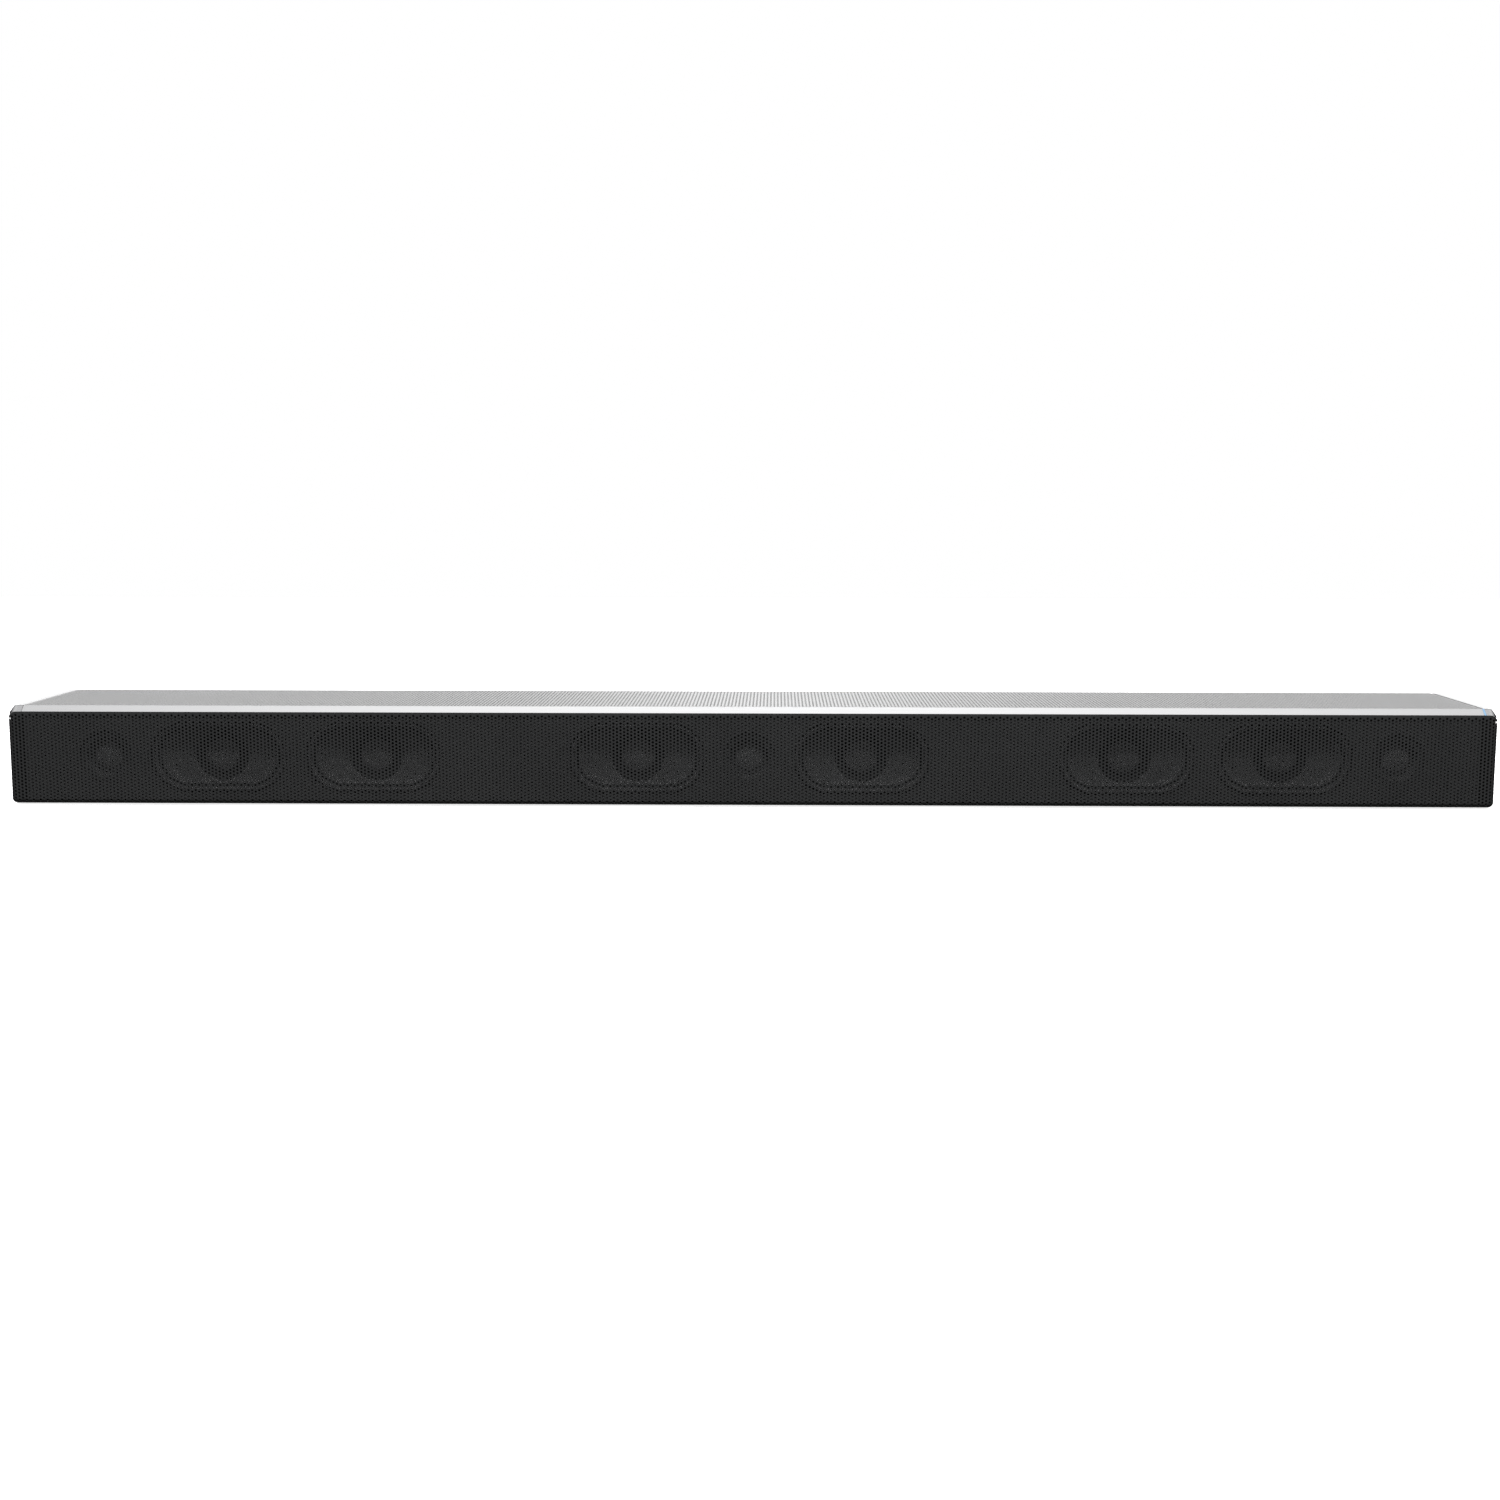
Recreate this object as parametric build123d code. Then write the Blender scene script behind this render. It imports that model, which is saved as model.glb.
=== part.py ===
from build123d import *
import os
from math import cos, radians, sin

# A soundbar: a long low cabinet with six racetrack woofers and three dome tweeters
# behind the front grille, and an up-firing driver under each end of the top grille.
# Millimetres. The origin is the middle of the footprint, on the surface that the feet
# stand on. +X runs along the bar, -Y is the listener's side, +Z is up.

# ---- overall ----
bar_length = 1210.0
bar_depth = 131.0
bar_height = 82.0

# ---- casing ----
sheet = 0.8
seam = 0.2
housing_wall = 2.5
foot_height = 2.6
grille_bottom = 1.6
edge_radius = 6.0
bottom_radius = 4.0
grille_return = 14.0
bevel_drop = 4.8
bevel_reach = 6.0
trim_depth = 8.0
cap_length = 12.4
side_bevel_width = 4.9
side_bevel_drop = 14.0
grille_corner_radius = 8.0
rear_chamfer = 1.5
light_width = 1.2
trim_gap = 0.15
baffle_gap = 1.2
baffle_rim = 2.4
baffle_thickness = 4.0
baffle_end_gap = 13.0
deck_thickness = 2.8
deck_rim = 1.2
deck_rim_width = 4.0

# ---- drivers ----
round_slack = 0.01
woofer_places = (-433.5, -306.5, -91.5, 91.5, 306.5, 433.5)
tweeter_places = (-525.5, 0.0, 525.5)
upfiring_places = (-360.0, 360.0)
driver_height = 40.0

woofer_opening = (112.0, 58.5)
woofer_flange = (121.0, 67.5)
woofer_flange_corner = 8.0
woofer_flange_thickness = 2.5
woofer_screw_inset = 5.5
woofer_frame_opening = (108.0, 54.5)
surround_lip = (118.0, 64.5)
surround_inner = (98.0, 47.0)
surround_thickness = 1.0
lip_gap = 0.2
cone_rim = (102.0, 50.0)
cone_wall = 1.0
cone_depth = 12.5
neck_radius = 14.5
cap_rise = 3.5
cap_wall = 0.6
cap_gap = 0.2
coil_radius = 13.3
coil_wall = 0.7
coil_length = 16.0
coil_gap = 0.1
spider_depth = 16.6
spider_thickness = 0.6
spider_gap = 0.3
spider_radius = 25.0
landing_radius = 28.0
landing_thickness = 2.0
landing_gap = 1.5
basket_wall = 1.6
basket_margin = 2.0
magnet_radius = 25.0
magnet_thickness = 10.0
plate_thickness = 4.0
plate_inset = 2.0
magnet_bore_step = 2.0
gap_clearance = 0.7

tweeter_face_radius = 21.75
tweeter_face_step = 2.0
tweeter_flange = 52.0
tweeter_flange_corner = 6.0
tweeter_flange_thickness = 2.0
tweeter_setback = 3.0
tweeter_plate_gap = 0.25
tweeter_opening_radius = 17.0
tweeter_throat_radius = 14.0
dome_radius = 12.5
dome_rise = 3.5
dome_wall = 0.5
dome_gap = 0.3
tweeter_coil_length = 5.0
tweeter_motor_radius = 20.0
tweeter_motor_depth = 16.0
tweeter_groove_gap = 0.6
tweeter_groove_depth = 7.0
tweeter_pole_recess = 0.6
tweeter_surround_inset = 1.0
tweeter_surround_thickness = 0.3

upfiring_tilt = 15.0
upfiring_y = -4.0
upfiring_depth = 13.5
upfiring_opening_radius = 33.0
upfiring_flange_radius = 37.0
upfiring_flange_thickness = 2.0
upfiring_flange_land = 1.0
upfiring_lip_radius = 35.0
upfiring_cone_radius = 27.5
upfiring_surround_overlap = 1.5
upfiring_cone_depth = 11.0
upfiring_cap_rise = 4.0
upfiring_frame_start = 1.0
upfiring_frame_margin = 2.0
upfiring_landing_gap = 0.8
upfiring_neck_radius = 11.0
upfiring_coil_radius = 9.8
upfiring_coil_length = 12.0
upfiring_magnet_radius = 21.0
upfiring_magnet_thickness = 8.0
upfiring_motor_setback = 5.0
upfiring_spider_radius = 19.0
upfiring_spider_setback = 2.4
well_radius = 38.2
well_wall = 2.0
cup_radius = 26.0
cup_depth = 36.0
slanted_face = 1.5
housing_gap = 0.5

# ---- inside ----
partition_places = (-497.0, -200.0, 200.0, 497.0)
partition_thickness = 2.0
board_thickness = 1.6
recess_x = -100.0
recess_z = 38.0
recess_size = (160.0, 40.0)
recess_depth = 25.0
tunnel_wall = 2.0
panel_thickness = 1.5
socket_depth = 10.0
socket_proud = 0.6
socket_gap = 0.3
socket_wall = 0.7
socket_back = 0.6
tongue_inset = 3.0
tongue_setback = 1.5
tongue_thickness = 1.2
optical_wall = 1.5
shutter_gap = 0.3
shutter_thickness = 0.8
shutter_setback = 0.8
jack_depth = 5.5
aux_bore_radius = 1.8
power_bore_radius = 4.0
power_pin_radius = 1.0
power_pin_length = 5.0
# each socket: place along the recess from its middle, width, height
socket_places = {
    "hdmi_1": (-66.0, 15.0, 6.0),
    "hdmi_2": (-44.0, 15.0, 6.0),
    "hdmi_3": (-22.0, 15.0, 6.0),
    "optical": (2.0, 10.0, 10.0),
    "aux": (22.0, 8.0, 8.0),
    "service": (42.0, 8.0, 3.4),
    "power": (64.0, 13.0, 13.0),
}
main_board_size = (180.0, 56.0)
amplifier_place = (100.0, 20.0)
amplifier_size = (170.0, 64.0)
standoff_height = 6.0
standoff_radius = 3.0
standoff_inset = 6.0
heatsink_size = (150.0, 50.0, 26.0)
heatsink_base = 3.0
fin_count = 11
fin_thickness = 2.0
display_x = 572.4
display_z = 41.3
display_size = (26.0, 26.5)
lamp_board_margin = 4.0

# ---- buttons on the right end ----
button_places = (-14.0, 6.0, 26.0, 46.0)
button_names = ("power", "source", "volume_down", "volume_up")
button_size = (13.0, 8.0)
button_corner = 3.0
button_z = 52.0
button_proud = 0.7
button_gap = 0.35
button_setback = 0.1
button_travel = 0.8
flange_margin = 1.2
flange_gap = 0.1
switch_size = 6.0
switch_height = 3.4
switch_gap = 0.1
button_board_margin = 12.0

# ---- feet, screws, wall-bracket inserts ----
foot_places = ((-520.0, -30.0), (-520.0, 44.0), (520.0, -30.0), (520.0, 44.0))
foot_radius = 11.0
foot_recess = 1.0
foot_gap = 0.3
post_radius = 4.0
post_y = 50.0
post_places = (-575.0, -300.0, -210.0, 210.0, 300.0, 575.0)
screw_radius = 1.2
screw_hole_radius = 1.35
screw_pass_radius = 1.7
screw_head_radius = 2.6
screw_head = 1.0
screw_head_gap = 0.4
screw_head_seat = 0.1
screw_length = 12.0
pilot_depth = 3.2
thread_depth = 3.0
driver_screw_head = 1.6
insert_spacing = 800.0
insert_z = 41.0
insert_bore_radius = 2.1
insert_radius = 3.5
insert_length = 10.0
insert_gap = 0.05
boss_radius = 6.0

# ---- places worked out from the sizes above ----
front = -bar_depth / 2
rear = bar_depth / 2
half = bar_length / 2
bevel_low = bar_height - bevel_drop
seam_x = half - cap_length
tray_bottom = foot_height
tray_top = tray_bottom + housing_wall
baffle_front = front + sheet + baffle_gap
baffle_back = baffle_front + baffle_thickness
trim_bottom = bevel_low + trim_gap
baffle_length = bar_length - 2 * baffle_end_gap
trim_back = front + trim_depth
deck_top = bar_height - sheet - deck_rim
deck_bottom = deck_top - deck_thickness
rear_inner = rear - housing_wall
housing_length = 2 * (seam_x - seam)
cap_face = half - button_setback - button_proud
switch_top = cap_face - housing_wall - flange_margin - flange_gap - button_travel - switch_gap
tweeter_base = tweeter_flange_thickness + tweeter_setback
amplifier_bottom = tray_top + standoff_height
main_board_front = rear - recess_depth - socket_depth - board_thickness


def rod(radius, length, center=(0, 0, 0), toward=(0, 0, 1)):
    """A cylinder that starts at center and runs length along toward."""
    plane = Plane(origin=center, z_dir=toward)
    return plane * Cylinder(radius, length, align=(Align.CENTER, Align.CENTER, Align.MIN))


def block(low, high):
    """A box between two opposite corners."""
    size = [b - a for a, b in zip(low, high)]
    middle = [(a + b) / 2 for a, b in zip(low, high)]
    return Pos(*middle) * Box(*size)


def facing_front(x, z, y):
    """A plane seen from the front, whose own z runs back into the cabinet."""
    return Plane(origin=(x, y, z), x_dir=(1, 0, 0), z_dir=(0, 1, 0))


def slab(plane, sketch, start, thickness):
    """A sketch extruded by thickness, from start along the plane's z."""
    return plane * (Pos(0, 0, start) * extrude(sketch, thickness, dir=(0, 0, 1)))


def cone_shell(plane, rim, neck, depth, start, wall):
    """A thin shell that runs from a racetrack rim to a round neck."""
    rim_inside = (rim[0] - 2 * wall, rim[1] - 2 * wall)
    outer = loft([track(rim), Pos(0, 0, depth) * disc(neck)], ruled=True)
    inner = loft([track(rim_inside), Pos(0, 0, depth) * disc(neck - wall)], ruled=True)
    return plane * (Pos(0, 0, start) * (outer - inner))


def track(size):
    """A racetrack outline: a rounded rectangle whose short sides are all but full half rounds."""
    width, height = size
    return RectangleRounded(width, height, height / 2 - round_slack)


def disc(radius):
    """A disc built like a racetrack, so that it lofts to one corner by corner."""
    return track((2 * radius, 2 * radius))


def grown(size, margin):
    """A width and a height made larger by a margin on every side."""
    return [side + 2 * margin for side in size]


def frustum(start_radius, end_radius, length):
    """A round taper along z."""
    return loft([Circle(start_radius), Pos(0, 0, length) * Circle(end_radius)])


def ring(outer_radius, inner_radius):
    """A flat ring sketch."""
    return Circle(outer_radius) - Circle(inner_radius)


def cap_dome(plane, radius, rise, wall, base):
    """A thin spherical cap that bulges towards the listener from depth base."""
    ball = (radius * radius + rise * rise) / (2 * rise)
    shell = Sphere(ball) - Sphere(ball - wall)
    keep = Pos(0, 0, -ball) * Box(4 * ball, 4 * ball, 2 * rise)
    return plane * (Pos(0, 0, base + ball - rise) * (shell & keep))


def save(node, shape):
    """Writes one node, a single solid or a group of separate ones."""
    solids = shape if isinstance(shape, list) else [shape]
    flat = [s for item in solids for s in item.solids()]
    export_step(Compound(label=node, children=flat), f"parts/{node}.step")


# ---- casing ----
def grille_outline(grow, top):
    """The front sheet's outline seen from the front, with rounded upper corners."""
    width = bar_length + 2 * grow
    low = grille_bottom - grow
    sketch = Pos(0, (low + top) / 2) * Rectangle(width, top - low)
    corners = sketch.vertices().sort_by(Axis.Y)[-2:]
    return fillet(corners, grille_corner_radius)


def wrapped_body(inset):
    """The block that the front sheet is folded round, set in by one thickness or none."""
    length = bar_length - 2 * inset
    low = grille_bottom + inset
    body = block((-length / 2, front + inset, low), (length / 2, rear, bar_height))
    body = fillet(body.edges().filter_by(Axis.Z), edge_radius - inset)
    under = body.faces().sort_by(Axis.Z)[0].edges()
    return fillet(under, bottom_radius - inset)


def from_front(sketch, y0, y1):
    """A sketch drawn in X and Z, extruded from y0 to y1."""
    plane = Plane(origin=(0, y0, 0), x_dir=(1, 0, 0), z_dir=(0, -1, 0))
    return plane * extrude(sketch, y1 - y0, dir=(0, 0, -1))


def make_front_grille():
    shell = wrapped_body(0.0) - wrapped_body(sheet)
    window = from_front(grille_outline(0.0, bevel_low), front - 1, front + grille_return)
    return shell & window


def side_profile(points, x0, x1):
    """A closed outline drawn in Y and Z, extruded from x0 to x1."""
    plane = Plane(origin=(x0, 0, 0), x_dir=(0, 1, 0), z_dir=(1, 0, 0))
    return plane * extrude(Polygon(*points, align=None), x1 - x0, dir=(0, 0, 1))


def bevel_bar(x0, x1):
    """The bevelled bar between the front and the top."""
    points = (
        (front, trim_bottom),
        (front + bevel_reach, bar_height),
        (trim_back, bar_height),
        (trim_back, trim_bottom),
    )
    return side_profile(points, x0, x1)


def make_end_cap(side):
    """One end of the cabinet, made on the right and mirrored for the left."""
    start = seam_x + (light_width + 2 * seam if side > 0 else seam)
    back_of_return = front + grille_return + seam
    outline = (
        (front, tray_bottom),
        (front, trim_bottom),
        (front + bevel_reach, bar_height),
        (rear - rear_chamfer, bar_height),
        (rear, bar_height - rear_chamfer),
        (rear, tray_bottom),
    )
    cap = side_profile(outline, start, half)
    bevel = Polygon(
        (half - side_bevel_width, bar_height + 1),
        (half - side_bevel_width, bar_height),
        (half, bar_height - side_bevel_drop),
        (half + 1, bar_height - side_bevel_drop),
        (half + 1, bar_height + 1),
        align=None,
    )
    cap -= from_front(bevel, front - 1, rear + 1)
    cap -= from_front(grille_outline(seam, bevel_low + seam / 2), front - 1, back_of_return)
    cap -= block((cap_face, back_of_return, 0), (half + 1, rear + 1, bar_height - side_bevel_drop))
    hollow = Polygon(
        (start - 1, tray_top),
        (cap_face - housing_wall, tray_top),
        (cap_face - housing_wall, bar_height - side_bevel_drop - 1),
        (half - side_bevel_width - housing_wall, bar_height - housing_wall),
        (start - 1, bar_height - housing_wall),
        align=None,
    )
    cap -= from_front(hollow, back_of_return + housing_wall, rear_inner)
    if side > 0:
        for y in button_places:
            opening = button_plane(cap_face - 2 * housing_wall, y)
            outline = RectangleRounded(*grown(button_size, button_gap), button_corner + button_gap)
            cap -= opening * extrude(outline, 4 * housing_wall)
        return cap
    return mirror(cap, about=Plane.YZ)


def make_baffle():
    plate = block(
        (-baffle_length / 2, baffle_front, tray_top),
        (baffle_length / 2, baffle_back, trim_bottom),
    )
    rim = block(
        (-baffle_length / 2, front + sheet + seam, trim_bottom - baffle_rim),
        (baffle_length / 2, baffle_front, trim_bottom),
    )
    plate += rim
    for x in woofer_places:
        plane = facing_front(x, driver_height, baffle_front)
        plate -= slab(plane, track(woofer_opening), -1, baffle_thickness + 2)
        for hole in woofer_screws(x):
            plate -= rod(screw_hole_radius, pilot_depth, hole, (0, -1, 0))
    for x in tweeter_places:
        mouth = (x, baffle_front - 1, driver_height)
        plate -= rod(tweeter_face_radius + tweeter_plate_gap, baffle_thickness + 2, mouth, (0, 1, 0))
    return plate - display_block(seam, front, baffle_back + 1)


def woofer_screws(x):
    """The four screw places of one woofer, on the baffle's back."""
    dx = woofer_flange[0] / 2 - woofer_screw_inset
    dz = woofer_flange[1] / 2 - woofer_screw_inset
    return [(x + i * dx, baffle_back, driver_height + k * dz) for i in (-1, 1) for k in (-1, 1)]


def make_deck():
    low_y = trim_back
    high_y = rear_inner
    end = housing_length / 2
    deck = block((-end, low_y, deck_bottom), (end, high_y, deck_top))
    rim = block((-end, low_y, deck_top), (end, high_y, deck_top + deck_rim))
    rim -= block(
        (-end + deck_rim_width, low_y + deck_rim_width, 0),
        (end - deck_rim_width, high_y - deck_rim_width, bar_height),
    )
    deck += rim
    for x in upfiring_places:
        deck -= rod(well_radius, deck_thickness + 2, (x, upfiring_y, deck_bottom - 1))
    for x in post_places:
        deck += rod(post_radius, deck_bottom - tray_top, (x, post_y, tray_top))
    for x in post_places:
        deck -= rod(screw_hole_radius, screw_length + 2, (x, post_y, tray_top - 1))
    return deck


def make_tray():
    end = housing_length / 2
    tray = block((-end, front + bottom_radius, tray_bottom), (end, rear_inner, tray_top))
    for x in post_places:
        tray -= rod(screw_pass_radius, tray_top + 1, (x, post_y, 0))
        head_top = tray_bottom + screw_head + 2 * screw_head_seat
        tray -= rod(screw_head_radius + screw_head_gap, head_top, (x, post_y, 0))
    for x, y in foot_places:
        tray -= rod(foot_radius + foot_gap, tray_bottom + foot_recess, (x, y, 0))
    for x, y in amplifier_posts():
        tray += rod(standoff_radius, standoff_height, (x, y, tray_top))
    return tray


def amplifier_posts():
    """The places of the four posts that the amplifier board lies on."""
    x, y = amplifier_place
    dx = amplifier_size[0] / 2 - standoff_inset
    dy = amplifier_size[1] / 2 - standoff_inset
    return [(x + i * dx, y + k * dy) for i in (-1, 1) for k in (-1, 1)]


def make_rear_cover():
    end = housing_length / 2
    width, height = recess_size
    outline = (
        (rear_inner, tray_bottom),
        (rear_inner, bar_height),
        (rear - rear_chamfer, bar_height),
        (rear, bar_height - rear_chamfer),
        (rear, tray_bottom),
    )
    cover = side_profile(outline, -end, end)
    tunnel_low = (recess_x - width / 2, rear - recess_depth, recess_z - height / 2)
    tunnel_high = (recess_x + width / 2, rear + 1, recess_z + height / 2)
    cover += block(
        (tunnel_low[0] - tunnel_wall, tunnel_low[1] + panel_thickness, tunnel_low[2] - tunnel_wall),
        (tunnel_high[0] + tunnel_wall, rear_inner, tunnel_high[2] + tunnel_wall),
    )
    cover -= block(tunnel_low, tunnel_high)
    for x in (-insert_spacing / 2, insert_spacing / 2):
        cover += rod(boss_radius, insert_length, (x, rear_inner, insert_z), (0, -1, 0))
        cover -= rod(insert_radius, insert_length + 1, (x, rear + 1, insert_z), (0, -1, 0))
    return cover


def make_partitions():
    return [
        block(
            (x - partition_thickness / 2, baffle_back, tray_top),
            (x + partition_thickness / 2, rear_inner, deck_bottom),
        )
        for x in partition_places
    ]


# ---- drivers ----
def woofer_plane(x):
    return facing_front(x, driver_height, baffle_back)


def upfiring_plane(x):
    """The slanted face that an up-firing driver is screwed to; z runs down into the cabinet."""
    tilt = radians(upfiring_tilt)
    origin = (x, upfiring_y, deck_top - upfiring_depth)
    return Plane(origin=origin, x_dir=(1, 0, 0), z_dir=(0, sin(tilt), -cos(tilt)))


def make_woofer_frame(x):
    plane = woofer_plane(x)
    start = surround_thickness
    flange_outline = RectangleRounded(*woofer_flange, woofer_flange_corner)
    frame = slab(plane, flange_outline - track(woofer_frame_opening), start, woofer_flange_thickness)
    lip = flange_outline - track(grown(surround_lip, lip_gap))
    frame += slab(plane, lip, 0, start)
    for hole in woofer_screws(x):
        frame -= rod(screw_pass_radius, start + woofer_flange_thickness, hole, (0, 1, 0))
    basket_top = start + woofer_flange_thickness
    depth = spider_depth + spider_thickness - basket_top
    rim = grown(woofer_frame_opening, basket_margin)
    frame += cone_shell(plane, rim, landing_radius, depth, basket_top, basket_wall)
    landing = ring(landing_radius, neck_radius + landing_gap)
    frame += slab(plane, landing, spider_depth + spider_thickness, landing_thickness)
    return frame


def make_motor(plane, start, magnet, thickness, coil):
    """Top plate, ring magnet and back plate with its pole, stacked face to face."""
    hole = coil + gap_clearance
    pole = coil - coil_wall - gap_clearance
    back = start + plate_thickness + thickness
    top_plate = slab(plane, ring(magnet - plate_inset, hole), start, plate_thickness)
    magnet_ring = slab(plane, ring(magnet, hole + magnet_bore_step), start + plate_thickness, thickness)
    yoke = slab(plane, Circle(magnet), back, plate_thickness)
    yoke += slab(plane, Circle(pole), start, plate_thickness + thickness)
    return [top_plate, magnet_ring, yoke]


def make_woofer_cone(x):
    plane = woofer_plane(x)
    start = surround_thickness
    cone = cone_shell(plane, cone_rim, neck_radius, cone_depth, start, cone_wall)
    cap_base = start + cone_depth - cone_wall
    dome = cap_dome(plane, neck_radius - cone_wall - cap_gap, cap_rise, cap_wall, cap_base)
    coil = slab(plane, ring(coil_radius, coil_radius - coil_wall), cap_base + coil_gap, coil_length)
    return [cone, dome, coil]


def make_woofer_surround(x):
    plane = woofer_plane(x)
    outline = track(surround_lip) - track(surround_inner)
    return slab(plane, outline, 0, surround_thickness)


def make_spider(plane, start, outer, inner):
    return slab(plane, ring(outer, inner + spider_gap), start, spider_thickness)


def make_tweeter_plate(x):
    plane = facing_front(x, driver_height, baffle_back)
    face_start = -baffle_thickness + tweeter_face_step
    plate = slab(plane, Circle(tweeter_face_radius), face_start, -face_start)
    flange = RectangleRounded(tweeter_flange, tweeter_flange, tweeter_flange_corner)
    plate += slab(plane, flange, 0, tweeter_flange_thickness)
    plate += slab(plane, Circle(tweeter_motor_radius), 0, tweeter_base)
    depth = tweeter_base - face_start
    mouth = Circle(tweeter_opening_radius)
    throat = Pos(0, 0, depth) * Circle(tweeter_throat_radius)
    return plate - plane * (Pos(0, 0, face_start) * loft([mouth, throat], ruled=True))


def make_tweeter_surround(x):
    plane = facing_front(x, driver_height, baffle_back)
    outline = ring(tweeter_motor_radius - tweeter_surround_inset, dome_radius + dome_gap)
    return slab(plane, outline, tweeter_base, tweeter_surround_thickness)


def make_tweeter_dome(x):
    plane = facing_front(x, driver_height, baffle_back)
    base = tweeter_base + tweeter_surround_thickness
    dome = cap_dome(plane, dome_radius, dome_rise, dome_wall, base)
    coil = slab(plane, ring(dome_radius, dome_radius - dome_wall), base, tweeter_coil_length)
    return dome + coil


def make_tweeter_motor(x):
    plane = facing_front(x, driver_height, baffle_back)
    start = tweeter_base + tweeter_surround_thickness
    body = slab(plane, Circle(tweeter_motor_radius), start, tweeter_motor_depth)
    groove = ring(dome_radius + tweeter_groove_gap, dome_radius - dome_wall - tweeter_groove_gap)
    body -= slab(plane, groove, start, tweeter_groove_depth)
    body -= slab(plane, Circle(dome_radius), start, tweeter_pole_recess)
    return body


def make_upfiring_housing(x):
    """A collar under the deck, a slanted face that the driver is screwed to, and a closed cup."""
    plane = upfiring_plane(x)
    face_start = upfiring_flange_thickness
    face_end = face_start + slanted_face
    column = rod(well_radius + well_wall, bar_height, (x, upfiring_y, deck_bottom), (0, 0, -1))
    collar = column - rod(well_radius, bar_height, (x, upfiring_y, deck_bottom), (0, 0, -1))
    reach = 4 * well_radius
    above_face = plane * (Pos(0, 0, face_end - bar_height) * Box(reach, reach, 2 * bar_height))
    face = column & slab(plane, Rectangle(reach, reach), face_start, slanted_face)
    rim = upfiring_opening_radius + housing_gap
    face -= plane * Cylinder(rim, 4 * face_end)
    outer = frustum(rim + well_wall, cup_radius, cup_depth - face_end)
    inner = frustum(rim, cup_radius - well_wall, cup_depth - face_end - well_wall)
    cup = plane * (Pos(0, 0, face_end) * (outer - inner))
    return (collar & above_face) + face + cup


def make_upfiring_frame(x):
    plane = upfiring_plane(x)
    flange = ring(upfiring_flange_radius, upfiring_opening_radius - upfiring_flange_land)
    frame = slab(plane, flange, 0, upfiring_flange_thickness)
    frame_depth = upfiring_cone_depth + upfiring_frame_margin
    outer = frustum(upfiring_opening_radius, upfiring_magnet_radius, frame_depth)
    inner = frustum(
        upfiring_opening_radius - basket_wall, upfiring_magnet_radius - basket_wall, frame_depth
    )
    frame += plane * (Pos(0, 0, upfiring_frame_start) * (outer - inner))
    landing = ring(upfiring_magnet_radius, upfiring_neck_radius + upfiring_landing_gap)
    frame += slab(plane, landing, frame_depth + upfiring_frame_start, landing_thickness)
    return frame


def make_upfiring_surround(x):
    plane = upfiring_plane(x)
    outline = ring(upfiring_lip_radius, upfiring_cone_radius - upfiring_surround_overlap)
    return slab(plane, outline, -surround_thickness, surround_thickness)


def make_upfiring_cone(x):
    plane = upfiring_plane(x)
    rim = upfiring_cone_radius
    neck = upfiring_neck_radius
    outer = frustum(rim, neck, upfiring_cone_depth)
    cone = plane * (outer - frustum(rim - cone_wall, neck - cone_wall, upfiring_cone_depth))
    cap_base = upfiring_cone_depth - cone_wall
    dome = cap_dome(plane, neck - cone_wall - cap_gap, upfiring_cap_rise, cap_wall, cap_base)
    coil = slab(
        plane,
        ring(upfiring_coil_radius, upfiring_coil_radius - coil_wall),
        cap_base + coil_gap,
        upfiring_coil_length,
    )
    return [cone, dome, coil]


def make_driver_screws():
    screws = []
    for x in woofer_places:
        for px, py, pz in woofer_screws(x):
            back = py + surround_thickness + woofer_flange_thickness
            shank = rod(screw_radius, back - py + thread_depth, (px, py - thread_depth, pz), (0, 1, 0))
            screws.append(shank + rod(screw_head_radius, driver_screw_head, (px, back, pz), (0, 1, 0)))
    return screws


# ---- electronics ----
def make_connector_panel():
    width, height = recess_size
    y = rear - recess_depth
    panel = block(
        (recess_x - width / 2 - tunnel_wall, y, recess_z - height / 2 - tunnel_wall),
        (recess_x + width / 2 + tunnel_wall, y + panel_thickness, recess_z + height / 2 + tunnel_wall),
    )
    for low, high in socket_boxes().values():
        grown_low = [low[0] - socket_gap, y - 1, low[2] - socket_gap]
        grown_high = [high[0] + socket_gap, y + panel_thickness + 1, high[2] + socket_gap]
        panel -= block(grown_low, grown_high)
    return panel


def socket_boxes():
    """Each socket's outer box, by name, as two opposite corners."""
    front_of_socket = rear - recess_depth - socket_depth
    back = rear - recess_depth + panel_thickness + socket_proud
    boxes = {}
    for name, (dx, width, height) in socket_places.items():
        low = (recess_x + dx - width / 2, front_of_socket, recess_z - height / 2)
        high = (recess_x + dx + width / 2, back, recess_z + height / 2)
        boxes[name] = (low, high)
    return boxes


def make_sockets():
    """Shells of the sockets, each open towards the rear."""
    boxes = socket_boxes()
    shapes = {}
    for name, (low, high) in boxes.items():
        body = block(low, high)
        bore_end = ((low[0] + high[0]) / 2, high[1] - jack_depth, recess_z)
        if name == "aux":
            body -= rod(aux_bore_radius, jack_depth, bore_end, (0, 1, 0))
        elif name == "power":
            body -= rod(power_bore_radius, jack_depth, bore_end, (0, 1, 0))
            body += rod(power_pin_radius, power_pin_length, bore_end, (0, 1, 0))
        else:
            wall = optical_wall if name == "optical" else socket_wall
            body -= block(
                (low[0] + wall, low[1] + socket_back, low[2] + wall),
                (high[0] - wall, high[1] + 1, high[2] - wall),
            )
        if name.startswith("hdmi"):
            body += block(
                (low[0] + tongue_inset, low[1] + socket_back, recess_z - tongue_thickness / 2),
                (high[0] - tongue_inset, high[1] - tongue_setback, recess_z + tongue_thickness / 2),
            )
        shapes[name] = body
    return shapes


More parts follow.
